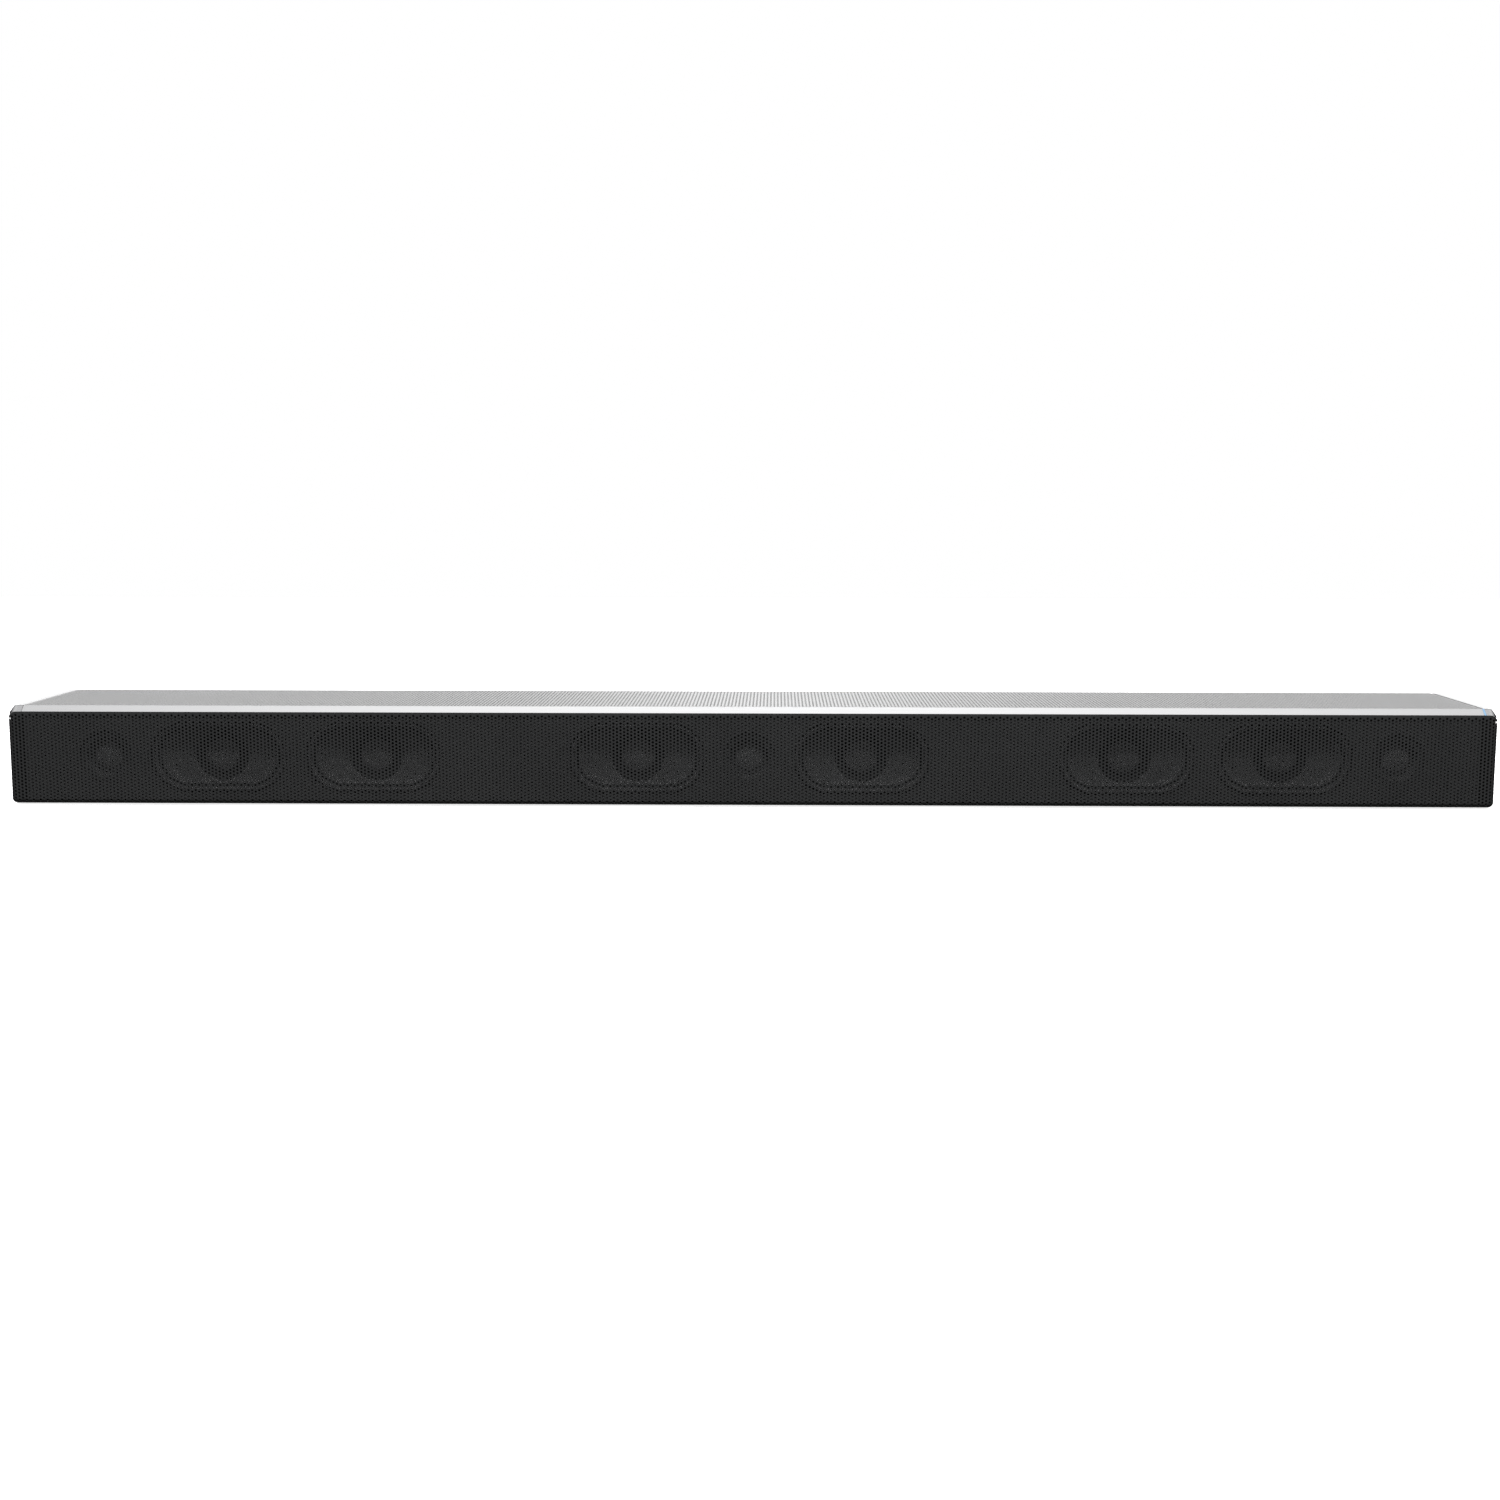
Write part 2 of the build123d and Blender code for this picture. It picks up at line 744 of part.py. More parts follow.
def make_optical_shutter():
    """The sprung flap inside the optical socket, hinged along its top edge."""
    low, high = socket_boxes()["optical"]
    wall = optical_wall + shutter_gap
    y = high[1] - shutter_setback
    return block(
        (low[0] + wall, y - shutter_thickness, low[2] + wall),
        (high[0] - wall, y, high[2] - wall - shutter_gap),
    )


def make_main_board():
    width, height = main_board_size
    return block(
        (recess_x - width / 2, main_board_front, tray_top),
        (recess_x + width / 2, main_board_front + board_thickness, tray_top + height),
    )


def make_amplifier_board():
    return on_amplifier(amplifier_size, amplifier_bottom, board_thickness)


def on_amplifier(size, z, height):
    """A box that stands over the middle of the amplifier board."""
    x, y = amplifier_place
    width, depth = size
    return block((x - width / 2, y - depth / 2, z), (x + width / 2, y + depth / 2, z + height))


def make_heatsink():
    width, depth, height = heatsink_size
    z = amplifier_bottom + board_thickness
    heatsink = on_amplifier((width, depth), z, heatsink_base)
    step = (depth - fin_thickness) / (fin_count - 1)
    x, y = amplifier_place
    for number in range(fin_count):
        fin_y = y - depth / 2 + number * step
        heatsink += block((x - width / 2, fin_y, z), (x + width / 2, fin_y + fin_thickness, z + height))
    return heatsink


def button_plane(x, y):
    """A plane across a button's travel, whose own z runs out of the right end."""
    return Plane(origin=(x, y, button_z), x_dir=(0, 1, 0), z_dir=(1, 0, 0))


def make_button(y):
    """A key with a flange behind the end wall, which keeps it from falling out."""
    start = cap_face - housing_wall - flange_gap - flange_margin
    plane = button_plane(start, y)
    key = plane * extrude(RectangleRounded(*button_size, button_corner), half - button_setback - start)
    flange = RectangleRounded(*grown(button_size, flange_margin), button_corner + flange_margin)
    return key + plane * extrude(flange, flange_margin)


def make_switches():
    reach = switch_size / 2
    low_x = switch_top - switch_height
    return [
        block((low_x, y - reach, button_z - reach), (switch_top, y + reach, button_z + reach))
        for y in button_places
    ]


def make_button_board():
    face = switch_top - switch_height
    low_y = button_places[0] - button_board_margin
    return block(
        (face - board_thickness, low_y, button_z - button_board_margin),
        (face, rear_inner, button_z + button_board_margin),
    )


def display_block(margin, y0, y1):
    """A block behind the display's outline, larger by a margin on every side."""
    width, height = grown(display_size, margin)
    return block(
        (display_x - width / 2, y0, display_z - height / 2),
        (display_x + width / 2, y1, display_z + height / 2),
    )


def make_feet():
    return [rod(foot_radius, tray_bottom + foot_recess, (x, y, 0)) for x, y in foot_places]


def make_housing_screws():
    screws = []
    for x in post_places:
        start = (x, post_y, tray_bottom + screw_head_seat)
        screws.append(rod(screw_head_radius, screw_head, start) + rod(screw_radius, screw_length, start))
    return screws


def make_inserts():
    inserts = []
    for x in (-insert_spacing / 2, insert_spacing / 2):
        body = rod(insert_radius - insert_gap, insert_length, (x, rear, insert_z), (0, -1, 0))
        inserts.append(body - rod(insert_bore_radius, insert_length, (x, rear, insert_z), (0, -1, 0)))
    return inserts


# ---- write every node ----
os.makedirs("parts", exist_ok=True)

save("front_grille", make_front_grille())
top_low = (-housing_length / 2, trim_back + seam, bar_height - sheet)
top_high = (housing_length / 2, rear_inner - seam, bar_height)
save("top_grille", block(top_low, top_high))
save("top_trim", bevel_bar(-seam_x, seam_x))
save("status_light", bevel_bar(seam_x + seam, seam_x + seam + light_width))
save("left_end_cap", make_end_cap(-1))
save("right_end_cap", make_end_cap(1))
save("front_baffle", make_baffle())
save("top_deck", make_deck())
save("base_tray", make_tray())
save("rear_cover", make_rear_cover())
save("chamber_walls", make_partitions())
save("feet", make_feet())
save("housing_screws", make_housing_screws())
save("driver_screws", make_driver_screws())
save("wall_mount_inserts", make_inserts())

for number, x in enumerate(woofer_places, start=1):
    save(f"woofer_frame_{number}", make_woofer_frame(x))
    save(f"woofer_cone_{number}", make_woofer_cone(x))
save("woofer_surrounds", [make_woofer_surround(x) for x in woofer_places])

spider_list = [
    make_spider(woofer_plane(x), spider_depth, spider_radius, coil_radius) for x in woofer_places
]
spider_list += [
    make_spider(
        upfiring_plane(x),
        upfiring_cone_depth + upfiring_spider_setback,
        upfiring_spider_radius,
        upfiring_coil_radius,
    )
    for x in upfiring_places
]
save("spiders", spider_list)

woofer_motor_start = spider_depth + spider_thickness + landing_thickness
woofer_motors = []
for x in woofer_places:
    woofer_motors += make_motor(
        woofer_plane(x), woofer_motor_start, magnet_radius, magnet_thickness, coil_radius
    )
save("woofer_motors", woofer_motors)

for name, x in zip(("left", "centre", "right"), tweeter_places):
    save(f"tweeter_dome_{name}", make_tweeter_dome(x))
save("tweeter_plates", [make_tweeter_plate(x) for x in tweeter_places])
save("tweeter_surrounds", [make_tweeter_surround(x) for x in tweeter_places])
save("tweeter_motors", [make_tweeter_motor(x) for x in tweeter_places])

for name, x in zip(("left", "right"), upfiring_places):
    save(f"upfiring_cone_{name}", make_upfiring_cone(x))
save("upfiring_housings", [make_upfiring_housing(x) for x in upfiring_places])
save("upfiring_frames", [make_upfiring_frame(x) for x in upfiring_places])
save("upfiring_surrounds", [make_upfiring_surround(x) for x in upfiring_places])
upfiring_motors = []
for x in upfiring_places:
    upfiring_motors += make_motor(
        upfiring_plane(x),
        upfiring_cone_depth + upfiring_motor_setback,
        upfiring_magnet_radius,
        upfiring_magnet_thickness,
        upfiring_coil_radius,
    )
save("upfiring_motors", upfiring_motors)

sockets = make_sockets()
save("connector_panel", make_connector_panel())
save("hdmi_sockets", [sockets[f"hdmi_{i}"] for i in (1, 2, 3)])
save("optical_socket", sockets["optical"])
save("optical_shutter", make_optical_shutter())
save("aux_jack", sockets["aux"])
save("service_port", sockets["service"])
save("power_jack", sockets["power"])
save("main_board", make_main_board())
save("amplifier_board", make_amplifier_board())
save("heatsink", make_heatsink())

save("display_window", display_block(0.0, baffle_front, baffle_back))
save("display_board", display_block(lamp_board_margin, baffle_back, baffle_back + board_thickness))
for name, y in zip(button_names, button_places):
    save(f"{name}_button", make_button(y))
save("tact_switches", make_switches())
save("button_board", make_button_board())
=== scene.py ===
import bmesh
import bpy
import numpy as np
from math import cos, pi, radians, sin
from mathutils import Matrix, Vector


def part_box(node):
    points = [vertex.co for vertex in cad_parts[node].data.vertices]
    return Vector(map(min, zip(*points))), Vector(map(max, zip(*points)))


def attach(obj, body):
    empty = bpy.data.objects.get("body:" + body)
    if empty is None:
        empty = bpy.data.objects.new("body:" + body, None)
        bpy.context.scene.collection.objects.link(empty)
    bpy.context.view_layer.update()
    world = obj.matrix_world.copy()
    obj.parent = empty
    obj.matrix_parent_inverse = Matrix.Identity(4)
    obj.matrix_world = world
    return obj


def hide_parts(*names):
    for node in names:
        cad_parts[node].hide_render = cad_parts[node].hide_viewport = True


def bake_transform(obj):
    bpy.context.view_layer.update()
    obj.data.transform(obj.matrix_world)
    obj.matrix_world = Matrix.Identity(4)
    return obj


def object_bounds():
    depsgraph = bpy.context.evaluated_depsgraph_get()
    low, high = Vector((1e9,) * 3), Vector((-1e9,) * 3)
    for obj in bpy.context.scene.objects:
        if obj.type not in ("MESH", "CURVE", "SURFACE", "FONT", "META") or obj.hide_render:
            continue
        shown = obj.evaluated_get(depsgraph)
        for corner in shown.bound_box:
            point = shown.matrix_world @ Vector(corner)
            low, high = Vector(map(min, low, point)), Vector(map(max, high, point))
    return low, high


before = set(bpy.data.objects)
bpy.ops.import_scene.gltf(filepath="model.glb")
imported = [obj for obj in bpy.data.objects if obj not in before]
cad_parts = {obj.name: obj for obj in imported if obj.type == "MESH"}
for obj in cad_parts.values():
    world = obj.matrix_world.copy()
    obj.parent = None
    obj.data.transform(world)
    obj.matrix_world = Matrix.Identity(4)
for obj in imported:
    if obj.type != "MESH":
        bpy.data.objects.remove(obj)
cad_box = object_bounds()

MM = 0.001

# ---- the frame's own sizes, in millimetres ----
low_corner, high_corner = [np.array(corner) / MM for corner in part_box("front_grille")]
half = high_corner[0]
front = low_corner[1]
sheet_low = low_corner[2]
sheet_high = high_corner[2]
top_low, top_high = [np.array(corner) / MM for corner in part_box("top_grille")]
baffle_high = np.array(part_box("front_baffle")[1]) / MM
baffle_back = baffle_high[1]
trim_low, trim_high = [np.array(corner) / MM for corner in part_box("top_trim")]

# ---- perforated sheet ----
column_step = 2.90
hole_step = 2.785
front_hole_radius = 1.08
top_hole_radius = 0.85
sheet_thickness = 0.5
edge_radius = 6.0
bottom_radius = 4.0
corner_radius = 8.0
end_return = 8.0
under_return = 1.8
edge_land = 0.45

# ---- trim bar ----
bevel_reach = 6.0

# ---- slanted face of the up-firing housings: how far it leans, and its depth and height ----
upfiring_tilt = radians(15.0)
upfiring_face = (-4.0, 66.5)


# ======================================================================
# meshes
# ======================================================================
def mesh_piece(name, points, faces, material, smooth=True):
    """One piece from an array of points in millimetres and a list of face arrays of equal-sided faces."""
    mesh = bpy.data.meshes.new(name)
    points = np.asarray(points, float) * MM
    faces = [np.asarray(f, np.int64) for f in faces if len(f)]
    loops = np.concatenate([f.reshape(-1) for f in faces])
    sides = np.concatenate([np.full(len(f), f.shape[1]) for f in faces])
    starts = np.concatenate([[0], np.cumsum(sides)[:-1]])
    mesh.vertices.add(len(points))
    mesh.vertices.foreach_set("co", points.astype(np.float32).reshape(-1))
    mesh.loops.add(len(loops))
    mesh.loops.foreach_set("vertex_index", loops.astype(np.int32))
    mesh.polygons.add(len(sides))
    mesh.polygons.foreach_set("loop_start", starts.astype(np.int32))
    mesh.polygons.foreach_set("use_smooth", np.full(len(sides), smooth))
    mesh.update(calc_edges=True)
    mesh.validate()
    piece = bpy.data.objects.new(name, mesh)
    bpy.context.scene.collection.objects.link(piece)
    mesh.materials.append(material)
    return piece


def grid_faces(rows, columns, wrap_columns=False, wrap_rows=False):
    """Quads of a grid of rows by columns points, closed on itself along either way if asked."""
    r = np.arange(rows if wrap_rows else rows - 1)
    c = np.arange(columns if wrap_columns else columns - 1)
    r, c = [x.reshape(-1) for x in np.meshgrid(r, c, indexing="ij")]
    r1 = (r + 1) % rows
    c1 = (c + 1) % columns
    return np.stack([r * columns + c, r * columns + c1, r1 * columns + c1, r1 * columns + c], 1)


def sheet_position(u, v, depth):
    """The front sheet. u runs along the outline seen from above: straight across the front, a
    quarter round at each end, then straight back along the end. v is the height, and below the
    bottom radius it is the arc length round that radius and then in under the cabinet. depth
    moves the point into the sheet along its normal."""
    flat_half = half - edge_radius
    arc_end = flat_half + edge_radius * pi / 2
    size = np.abs(u)
    turn = np.clip((size - flat_half) / edge_radius, 0, pi / 2)
    along_end = np.maximum(size - arc_end, 0)
    curl_start = sheet_low + bottom_radius
    curl = np.clip((curl_start - v) / bottom_radius, 0, pi / 2)
    under = np.maximum(curl_start - bottom_radius * pi / 2 - v, 0)
    inward = bottom_radius * (1 - np.cos(curl)) + under + depth * np.cos(curl)
    height = np.where(v > curl_start, v, sheet_low + bottom_radius * (1 - np.sin(curl)))
    height = height + depth * np.sin(curl)
    radius = edge_radius - inward
    x = np.minimum(size, flat_half) + radius * np.sin(turn)
    y = front + edge_radius - radius * np.cos(turn) + along_end
    return np.stack([np.sign(u) * x, y, height], -1)


def sheet_top_edge(u):
    """The height of the front sheet's upper edge: level, then rounded down at both ends."""
    flat_half = half - edge_radius
    turn = np.clip((np.abs(u) - flat_half) / edge_radius, 0, pi / 2)
    x = np.minimum(np.abs(u), flat_half) + edge_radius * np.sin(turn)
    over = np.clip(x - (half - corner_radius), 0, corner_radius)
    drop = corner_radius - np.sqrt(np.maximum(corner_radius**2 - over**2, 0))
    return sheet_high - drop


def top_position(u, v, depth):
    """The top sheet: flat, u along the bar and v from front to back."""
    return np.stack([u, v, top_high[2] - depth + 0 * u], -1)


def perforated_sheet(name, place, material, u_range, v_low, v_high, v_origin, hole_radius,
                     hole_reach, hole_low):
    """A thin closed sheet with staggered round-looking holes. Each hole is a hexagon, and six
    bridges and two triangles per hole join it to its neighbours, in the sheet's own plane. The
    holes that would cross an edge, or that lie beyond hole_reach or under hole_low, are left
    filled, and every point outside an edge is brought back onto it, so the sheet ends in straight
    edges. The same points a sheet thickness deeper make the back, and short walls line each hole
    and edge."""
    u0, u1 = u_range
    first = int(np.floor(u0 / column_step)) - 1
    last = int(np.ceil(u1 / column_step)) + 1
    columns = np.arange(first, last + 1)
    v_span = np.array([v_low(np.array([u0, u1])).min(), v_high(np.linspace(u0, u1, 200)).max()])
    rows = np.arange(
        int(np.floor((v_span[0] - v_origin) / hole_step)) - 2,
        int(np.ceil((v_span[1] - v_origin) / hole_step)) + 2,
    )
    col, row = np.meshgrid(columns, rows, indexing="ij")
    centre_u = col * column_step
    centre_v = v_origin + (row + 0.5 * (col % 2)) * hole_step
    side = np.arctan2(0.5 * hole_step, column_step)
    half_way = (side + pi / 2) / 2
    angles = np.array([0, half_way, pi - half_way, pi, pi + half_way, 2 * pi - half_way])
    u = centre_u[..., None] + hole_radius * np.cos(angles)
    v = centre_v[..., None] + hole_radius * np.sin(angles)
    top = v_high(centre_u)
    clear = hole_radius + edge_land
    top_near = np.minimum(v_high(centre_u - clear), v_high(centre_u + clear))
    inside = (centre_u > u0 + 0.45 * column_step) & (centre_u < u1 - 0.45 * column_step)
    inside &= np.abs(centre_u) < hole_reach
    is_hole = inside & (centre_v < np.minimum(top, top_near) - clear) & (centre_v > hole_low)
    u = np.clip(u, u0, u1)
    v = np.clip(v, v_low(u), v_high(u))
    n_col, n_row = col.shape
    index = np.arange(n_col * n_row * 6).reshape(n_col, n_row, 6)

    c = np.arange(n_col - 1)
    r = np.arange(1, n_row - 1)
    c, r = [x.reshape(-1) for x in np.meshgrid(c, r, indexing="ij")]
    odd = columns[c] % 2
    side_up = (c + 1, r + odd)
    side_down = (c + 1, r + odd - 1)
    here = index[c, r]
    up = index[c, r + 1]
    right_up = index[side_up]
    right_down = index[side_down]
    quads = np.concatenate(
        [
            np.stack([here[:, 1], here[:, 0], right_up[:, 4], right_up[:, 3]], 1),
            np.stack([here[:, 0], here[:, 5], right_down[:, 3], right_down[:, 2]], 1),
            np.stack([here[:, 2], here[:, 1], up[:, 5], up[:, 4]], 1),
        ]
    )
    triangles = np.concatenate(
        [
            np.stack([here[:, 1], right_up[:, 3], up[:, 5]], 1),
            np.stack([here[:, 0], right_down[:, 2], right_up[:, 4]], 1),
        ]
    )
    caps = index[~is_hole]
    flat = np.stack([u.reshape(-1), v.reshape(-1)], 1)
    faces = []
    for group in (quads, triangles, caps):
        corners = flat[group]
        nxt = np.roll(corners, -1, axis=1)
        area = 0.5 * (corners[..., 0] * nxt[..., 1] - nxt[..., 0] * corners[..., 1]).sum(1)
        keep = np.abs(area) > 1e-4
        group = group[keep]
        turned = area[keep] < 0
        group[turned] = group[turned][:, ::-1]
        faces.append(group)

    # points brought to the same place on an edge become one point
    key = np.round(flat * 5000).astype(np.int64)
    _, first_of, same = np.unique(key, axis=0, return_index=True, return_inverse=True)
    same = same.reshape(-1)
    faces = [same[group] for group in faces]
    flat = flat[first_of]
    used = np.unique(np.concatenate([g.reshape(-1) for g in faces]))
    renumber = np.full(len(flat), -1)
    renumber[used] = np.arange(len(used))
    faces = [renumber[group] for group in faces]
    flat = flat[used]
    faces = drop_repeats(faces)

    count = len(flat)
    edges = np.concatenate(
        [np.stack([g, np.roll(g, -1, axis=1)], -1).reshape(-1, 2) for g in faces]
    )
    code = edges[:, 0] * count + edges[:, 1]
    back = edges[:, 1] * count + edges[:, 0]
    border = edges[~np.isin(code, back)]
    walls = np.stack([border[:, 1], border[:, 0], border[:, 0] + count, border[:, 1] + count], 1)
    outer = place(flat[:, 0], flat[:, 1], 0.0)
    inner = place(flat[:, 0], flat[:, 1], sheet_thickness)
    backs = [group[:, ::-1] + count for group in faces]
    return mesh_piece(name, np.concatenate([outer, inner]), [*faces, *backs, walls], material, smooth=False)


def drop_repeats(faces):
    """Faces in which two corners have become one lose that corner; those left with two go."""
    kept = {3: [], 4: [], 5: [], 6: []}
    for group in faces:
        distinct = group != np.roll(group, 1, axis=1)
        number = distinct.sum(1)
        for size in kept:
            chosen = number == size
            if chosen.any():
                kept[size].append(group[chosen][distinct[chosen]].reshape(-1, size))
    return [np.concatenate(groups) for groups in kept.values() if groups]


def swept_bar(name, outline, x0, x1, material, rounding=0.35):
    """A bar of constant section between x0 and x1. The outline is a list of (y, z) corners, each
    one rounded by a short arc, and both end faces are set in by a narrow chamfer."""
    section = rounded_outline(np.array(outline, float), rounding)
    centre = section.mean(0)
    inner = centre + (section - centre) * (1 - rounding / np.abs(section - centre).max())
    xs = [x0, x0 + rounding, x1 - rounding, x1]
    rings = [inner, section, section, inner]
    points = np.concatenate(
        [np.column_stack([np.full(len(ring), x), ring]) for x, ring in zip(xs, rings)]
    )
    n = len(section)
    sides = grid_faces(4, n, wrap_columns=True)
    ends = [np.arange(n)[None, ::-1], (3 * n + np.arange(n))[None]]
    return mesh_piece(name, points, [sides[:, ::-1], *ends], material, smooth=False)


def rounded_outline(corners, radius, steps=3):
    """A closed outline with each corner replaced by a few points of an arc tangent to its sides."""
    before = np.roll(corners, 1, axis=0)
    after = np.roll(corners, -1, axis=0)
    points = []
    for p, a, b in zip(corners, before, after):
        to_a = (a - p) / np.linalg.norm(a - p)
        to_b = (b - p) / np.linalg.norm(b - p)
        start, end = p + to_a * radius, p + to_b * radius
        for t in np.linspace(0, 1, steps):
            points.append((1 - t) ** 2 * start + 2 * t * (1 - t) * p + t * t * end)
    return np.array(points)


def track_ring(width, height, count):
    """Points round a racetrack: two straight sides joined by half rounds, evenly spaced by length."""
    radius = height / 2
    straight = max(width - height, 0.0)
    length = 2 * straight + 2 * pi * radius
    s = np.arange(count) / count * length
    half_round = pi * radius
    x = np.empty(count)
    z = np.empty(count)
    a = s < half_round
    angle = s[a] / radius - pi / 2
    x[a] = straight / 2 + radius * np.cos(angle)
    z[a] = radius * np.sin(angle)
    b = (s >= half_round) & (s < half_round + straight)
    x[b] = straight / 2 - (s[b] - half_round)
    z[b] = radius
    c = (s >= half_round + straight) & (s < 2 * half_round + straight)
    angle = (s[c] - half_round - straight) / radius + pi / 2
    x[c] = -straight / 2 + radius * np.cos(angle)
    z[c] = radius * np.sin(angle)
    d = s >= 2 * half_round + straight
    x[d] = -straight / 2 + (s[d] - 2 * half_round - straight)
    z[d] = -radius
    return x, z


def ring_surface(name, profile, basis, material, count=96, close=False, pole=False):
    """A surface made of racetrack rings. profile is a list of (width, height, depth), from the
    outside in; each ring lies that deep behind the driver's face. basis gives the face's middle
    and its right, up and inward directions. close joins the last ring back to the first, which
    makes a closed skin, and pole ends the surface in a point."""
    middle, right, up, inward = basis
    rows = []
    for width, height, depth in profile:
        x, z = track_ring(width, height, count)
        rows.append(middle + x[:, None] * right + z[:, None] * up + depth * inward)
    points = np.concatenate(rows)
    faces = [grid_faces(len(rows), count, wrap_columns=True, wrap_rows=close)]
    if pole:
        last = (len(rows) - 1) * count
        tip = len(points)
        points = np.concatenate([points, rows[-1].mean(0)[None]])
        i = np.arange(count)
        faces.append(np.stack([last + i, last + (i + 1) % count, np.full(count, tip)], 1))
        first_tip = len(points)
        points = np.concatenate([points, rows[0].mean(0)[None]])
        faces.append(np.stack([(i + 1) % count, i, np.full(count, first_tip)], 1))
    return mesh_piece(name, points, faces, material)


def thick(profile, wall):
    """The profile of a closed skin: out along the face, then back a wall deeper."""
    return [*profile, *[(w, h, d + wall) for w, h, d in reversed(profile)]]


def driver_basis(x, y, z, tilt=0.0):
    """The middle, right, up and inward directions of a driver's face; tilt leans an upward face forward."""
    if tilt:
        inward = np.array([0, sin(tilt), -cos(tilt)])
        up = np.array([0, cos(tilt), sin(tilt)])
    else:
        inward = np.array([0.0, 1.0, 0.0])
        up = np.array([0.0, 0.0, 1.0])
    return np.array([x, y, z]), np.array([1.0, 0.0, 0.0]), up, inward


def lathe(name, profile, middle, axis, material, count=48):
    """A closed solid of revolution: (radius, height) pairs turned about an axis."""
    middle, axis = np.array(middle, float), np.array(axis, float)
    side = np.cross(axis, [0.3, 0.5, 0.8])
    side = side / np.linalg.norm(side)
    other = np.cross(axis, side)
    angle = np.arange(count) / count * 2 * pi
    around = np.cos(angle)[:, None] * side + np.sin(angle)[:, None] * other
    rows = [middle + r * around + h * axis for r, h in profile]
    points = np.concatenate(rows)
    i = np.arange(count)
    faces = [grid_faces(len(rows), count, wrap_columns=True)]
    ends = [i[None, ::-1], ((len(rows) - 1) * count + i)[None]]
    return mesh_piece(name, points, [faces[0], *ends], material)


def softened(node, material, width=0.4, smooth_angle=30.0):
    """A copy of a CAD node with its triangles merged into flat faces and its edges rounded."""
    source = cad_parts[node]
    piece = bpy.data.objects.new(node.replace("_", "-") + "-shell", source.data.copy())
    bpy.context.scene.collection.objects.link(piece)
    piece.data.materials.clear()
    piece.data.materials.append(material)

    body = bmesh.new()
    body.from_mesh(piece.data)
    bmesh.ops.remove_doubles(body, verts=body.verts, dist=1e-6)
    bmesh.ops.dissolve_limit(
        body, angle_limit=radians(1.0), verts=body.verts, edges=body.edges, use_dissolve_boundaries=False
    )
    body.to_mesh(piece.data)
    body.free()
    piece.data.polygons.foreach_set("use_smooth", np.zeros(len(piece.data.polygons), bool))
    bevel = piece.modifiers.new("rounded_edges", "BEVEL")
    bevel.width = width * MM
    bevel.segments = 2
    bevel.limit_method = "ANGLE"
    bevel.angle_limit = radians(smooth_angle)
    bevel.use_clamp_overlap = True
    return piece


# ======================================================================
# materials
# ======================================================================
def new_material(name):
    """A node material, its Principled shader and its Object coordinates."""
    material = bpy.data.materials.new(name)
    material.use_nodes = True
    nodes = material.node_tree.nodes
    shader = next(n for n in nodes if n.type == "BSDF_PRINCIPLED")
    place = nodes.new("ShaderNodeTexCoord")
    return material, shader, place.outputs["Object"]


def noise_of(material, place, scale, detail=4.0, stretch=(1, 1, 1)):
    """Noise on Object coordinates, stretched along an axis if asked; scale is per metre."""
    nodes, links = material.node_tree.nodes, material.node_tree.links
    mapping = nodes.new("ShaderNodeMapping")
    mapping.inputs["Scale"].default_value = stretch
    links.new(place, mapping.inputs["Vector"])
    noise = nodes.new("ShaderNodeTexNoise")
    noise.inputs["Scale"].default_value = scale
    noise.inputs["Detail"].default_value = detail
    links.new(mapping.outputs["Vector"], noise.inputs["Vector"])
    return noise.outputs["Fac"]


def ramp_to(material, value, low, high, socket):
    """Sends a 0 to 1 value to a socket as a number or colour between low and high."""
    nodes, links = material.node_tree.nodes, material.node_tree.links
    if isinstance(low, tuple):
        ramp = nodes.new("ShaderNodeValToRGB")
        ramp.color_ramp.elements[0].position = 0.3
        ramp.color_ramp.elements[1].position = 0.7
        ramp.color_ramp.elements[0].color = (*low, 1)
        ramp.color_ramp.elements[1].color = (*high, 1)
        links.new(value, ramp.inputs["Fac"])
        links.new(ramp.outputs["Color"], socket)
        return
    spread = nodes.new("ShaderNodeMapRange")
    spread.inputs["From Min"].default_value = 0.3
    spread.inputs["From Max"].default_value = 0.7
    spread.inputs["To Min"].default_value = low
    spread.inputs["To Max"].default_value = high
    links.new(value, spread.inputs["Value"])
    links.new(spread.outputs["Result"], socket)


def bump_from(material, value, shader, strength, distance):
    """Bump on the shader's normal; distance is in metres."""
    nodes, links = material.node_tree.nodes, material.node_tree.links
    bump = nodes.new("ShaderNodeBump")
    bump.inputs["Strength"].default_value = strength
    bump.inputs["Distance"].default_value = distance
    links.new(value, bump.inputs["Height"])
    links.new(bump.outputs["Normal"], shader.inputs["Normal"])


def painted(name, dark, light, roughness, grain, coat=0.0, metal=0.0, stretch=(1, 1, 1), bump=0.15):
    """Paint, moulded plastic, rubber or metal: a colour that drifts between two close tones over
    a few centimetres, a roughness that varies with a finer noise, and a fine bump of that grain."""
    material, shader, place = new_material(name)
    broad = noise_of(material, place, 18.0, 3.0, stretch)
    ramp_to(material, broad, dark, light, shader.inputs["Base Color"])
    fine = noise_of(material, place, grain, 5.0, stretch)
    ramp_to(material, fine, roughness * 0.85, min(roughness * 1.15, 1.0), shader.inputs["Roughness"])
    bump_from(material, fine, shader, bump, 0.0001)
    shader.inputs["Metallic"].default_value = metal
    shader.inputs["Coat Weight"].default_value = coat
    shader.inputs["Coat Roughness"].default_value = 0.06
    return material


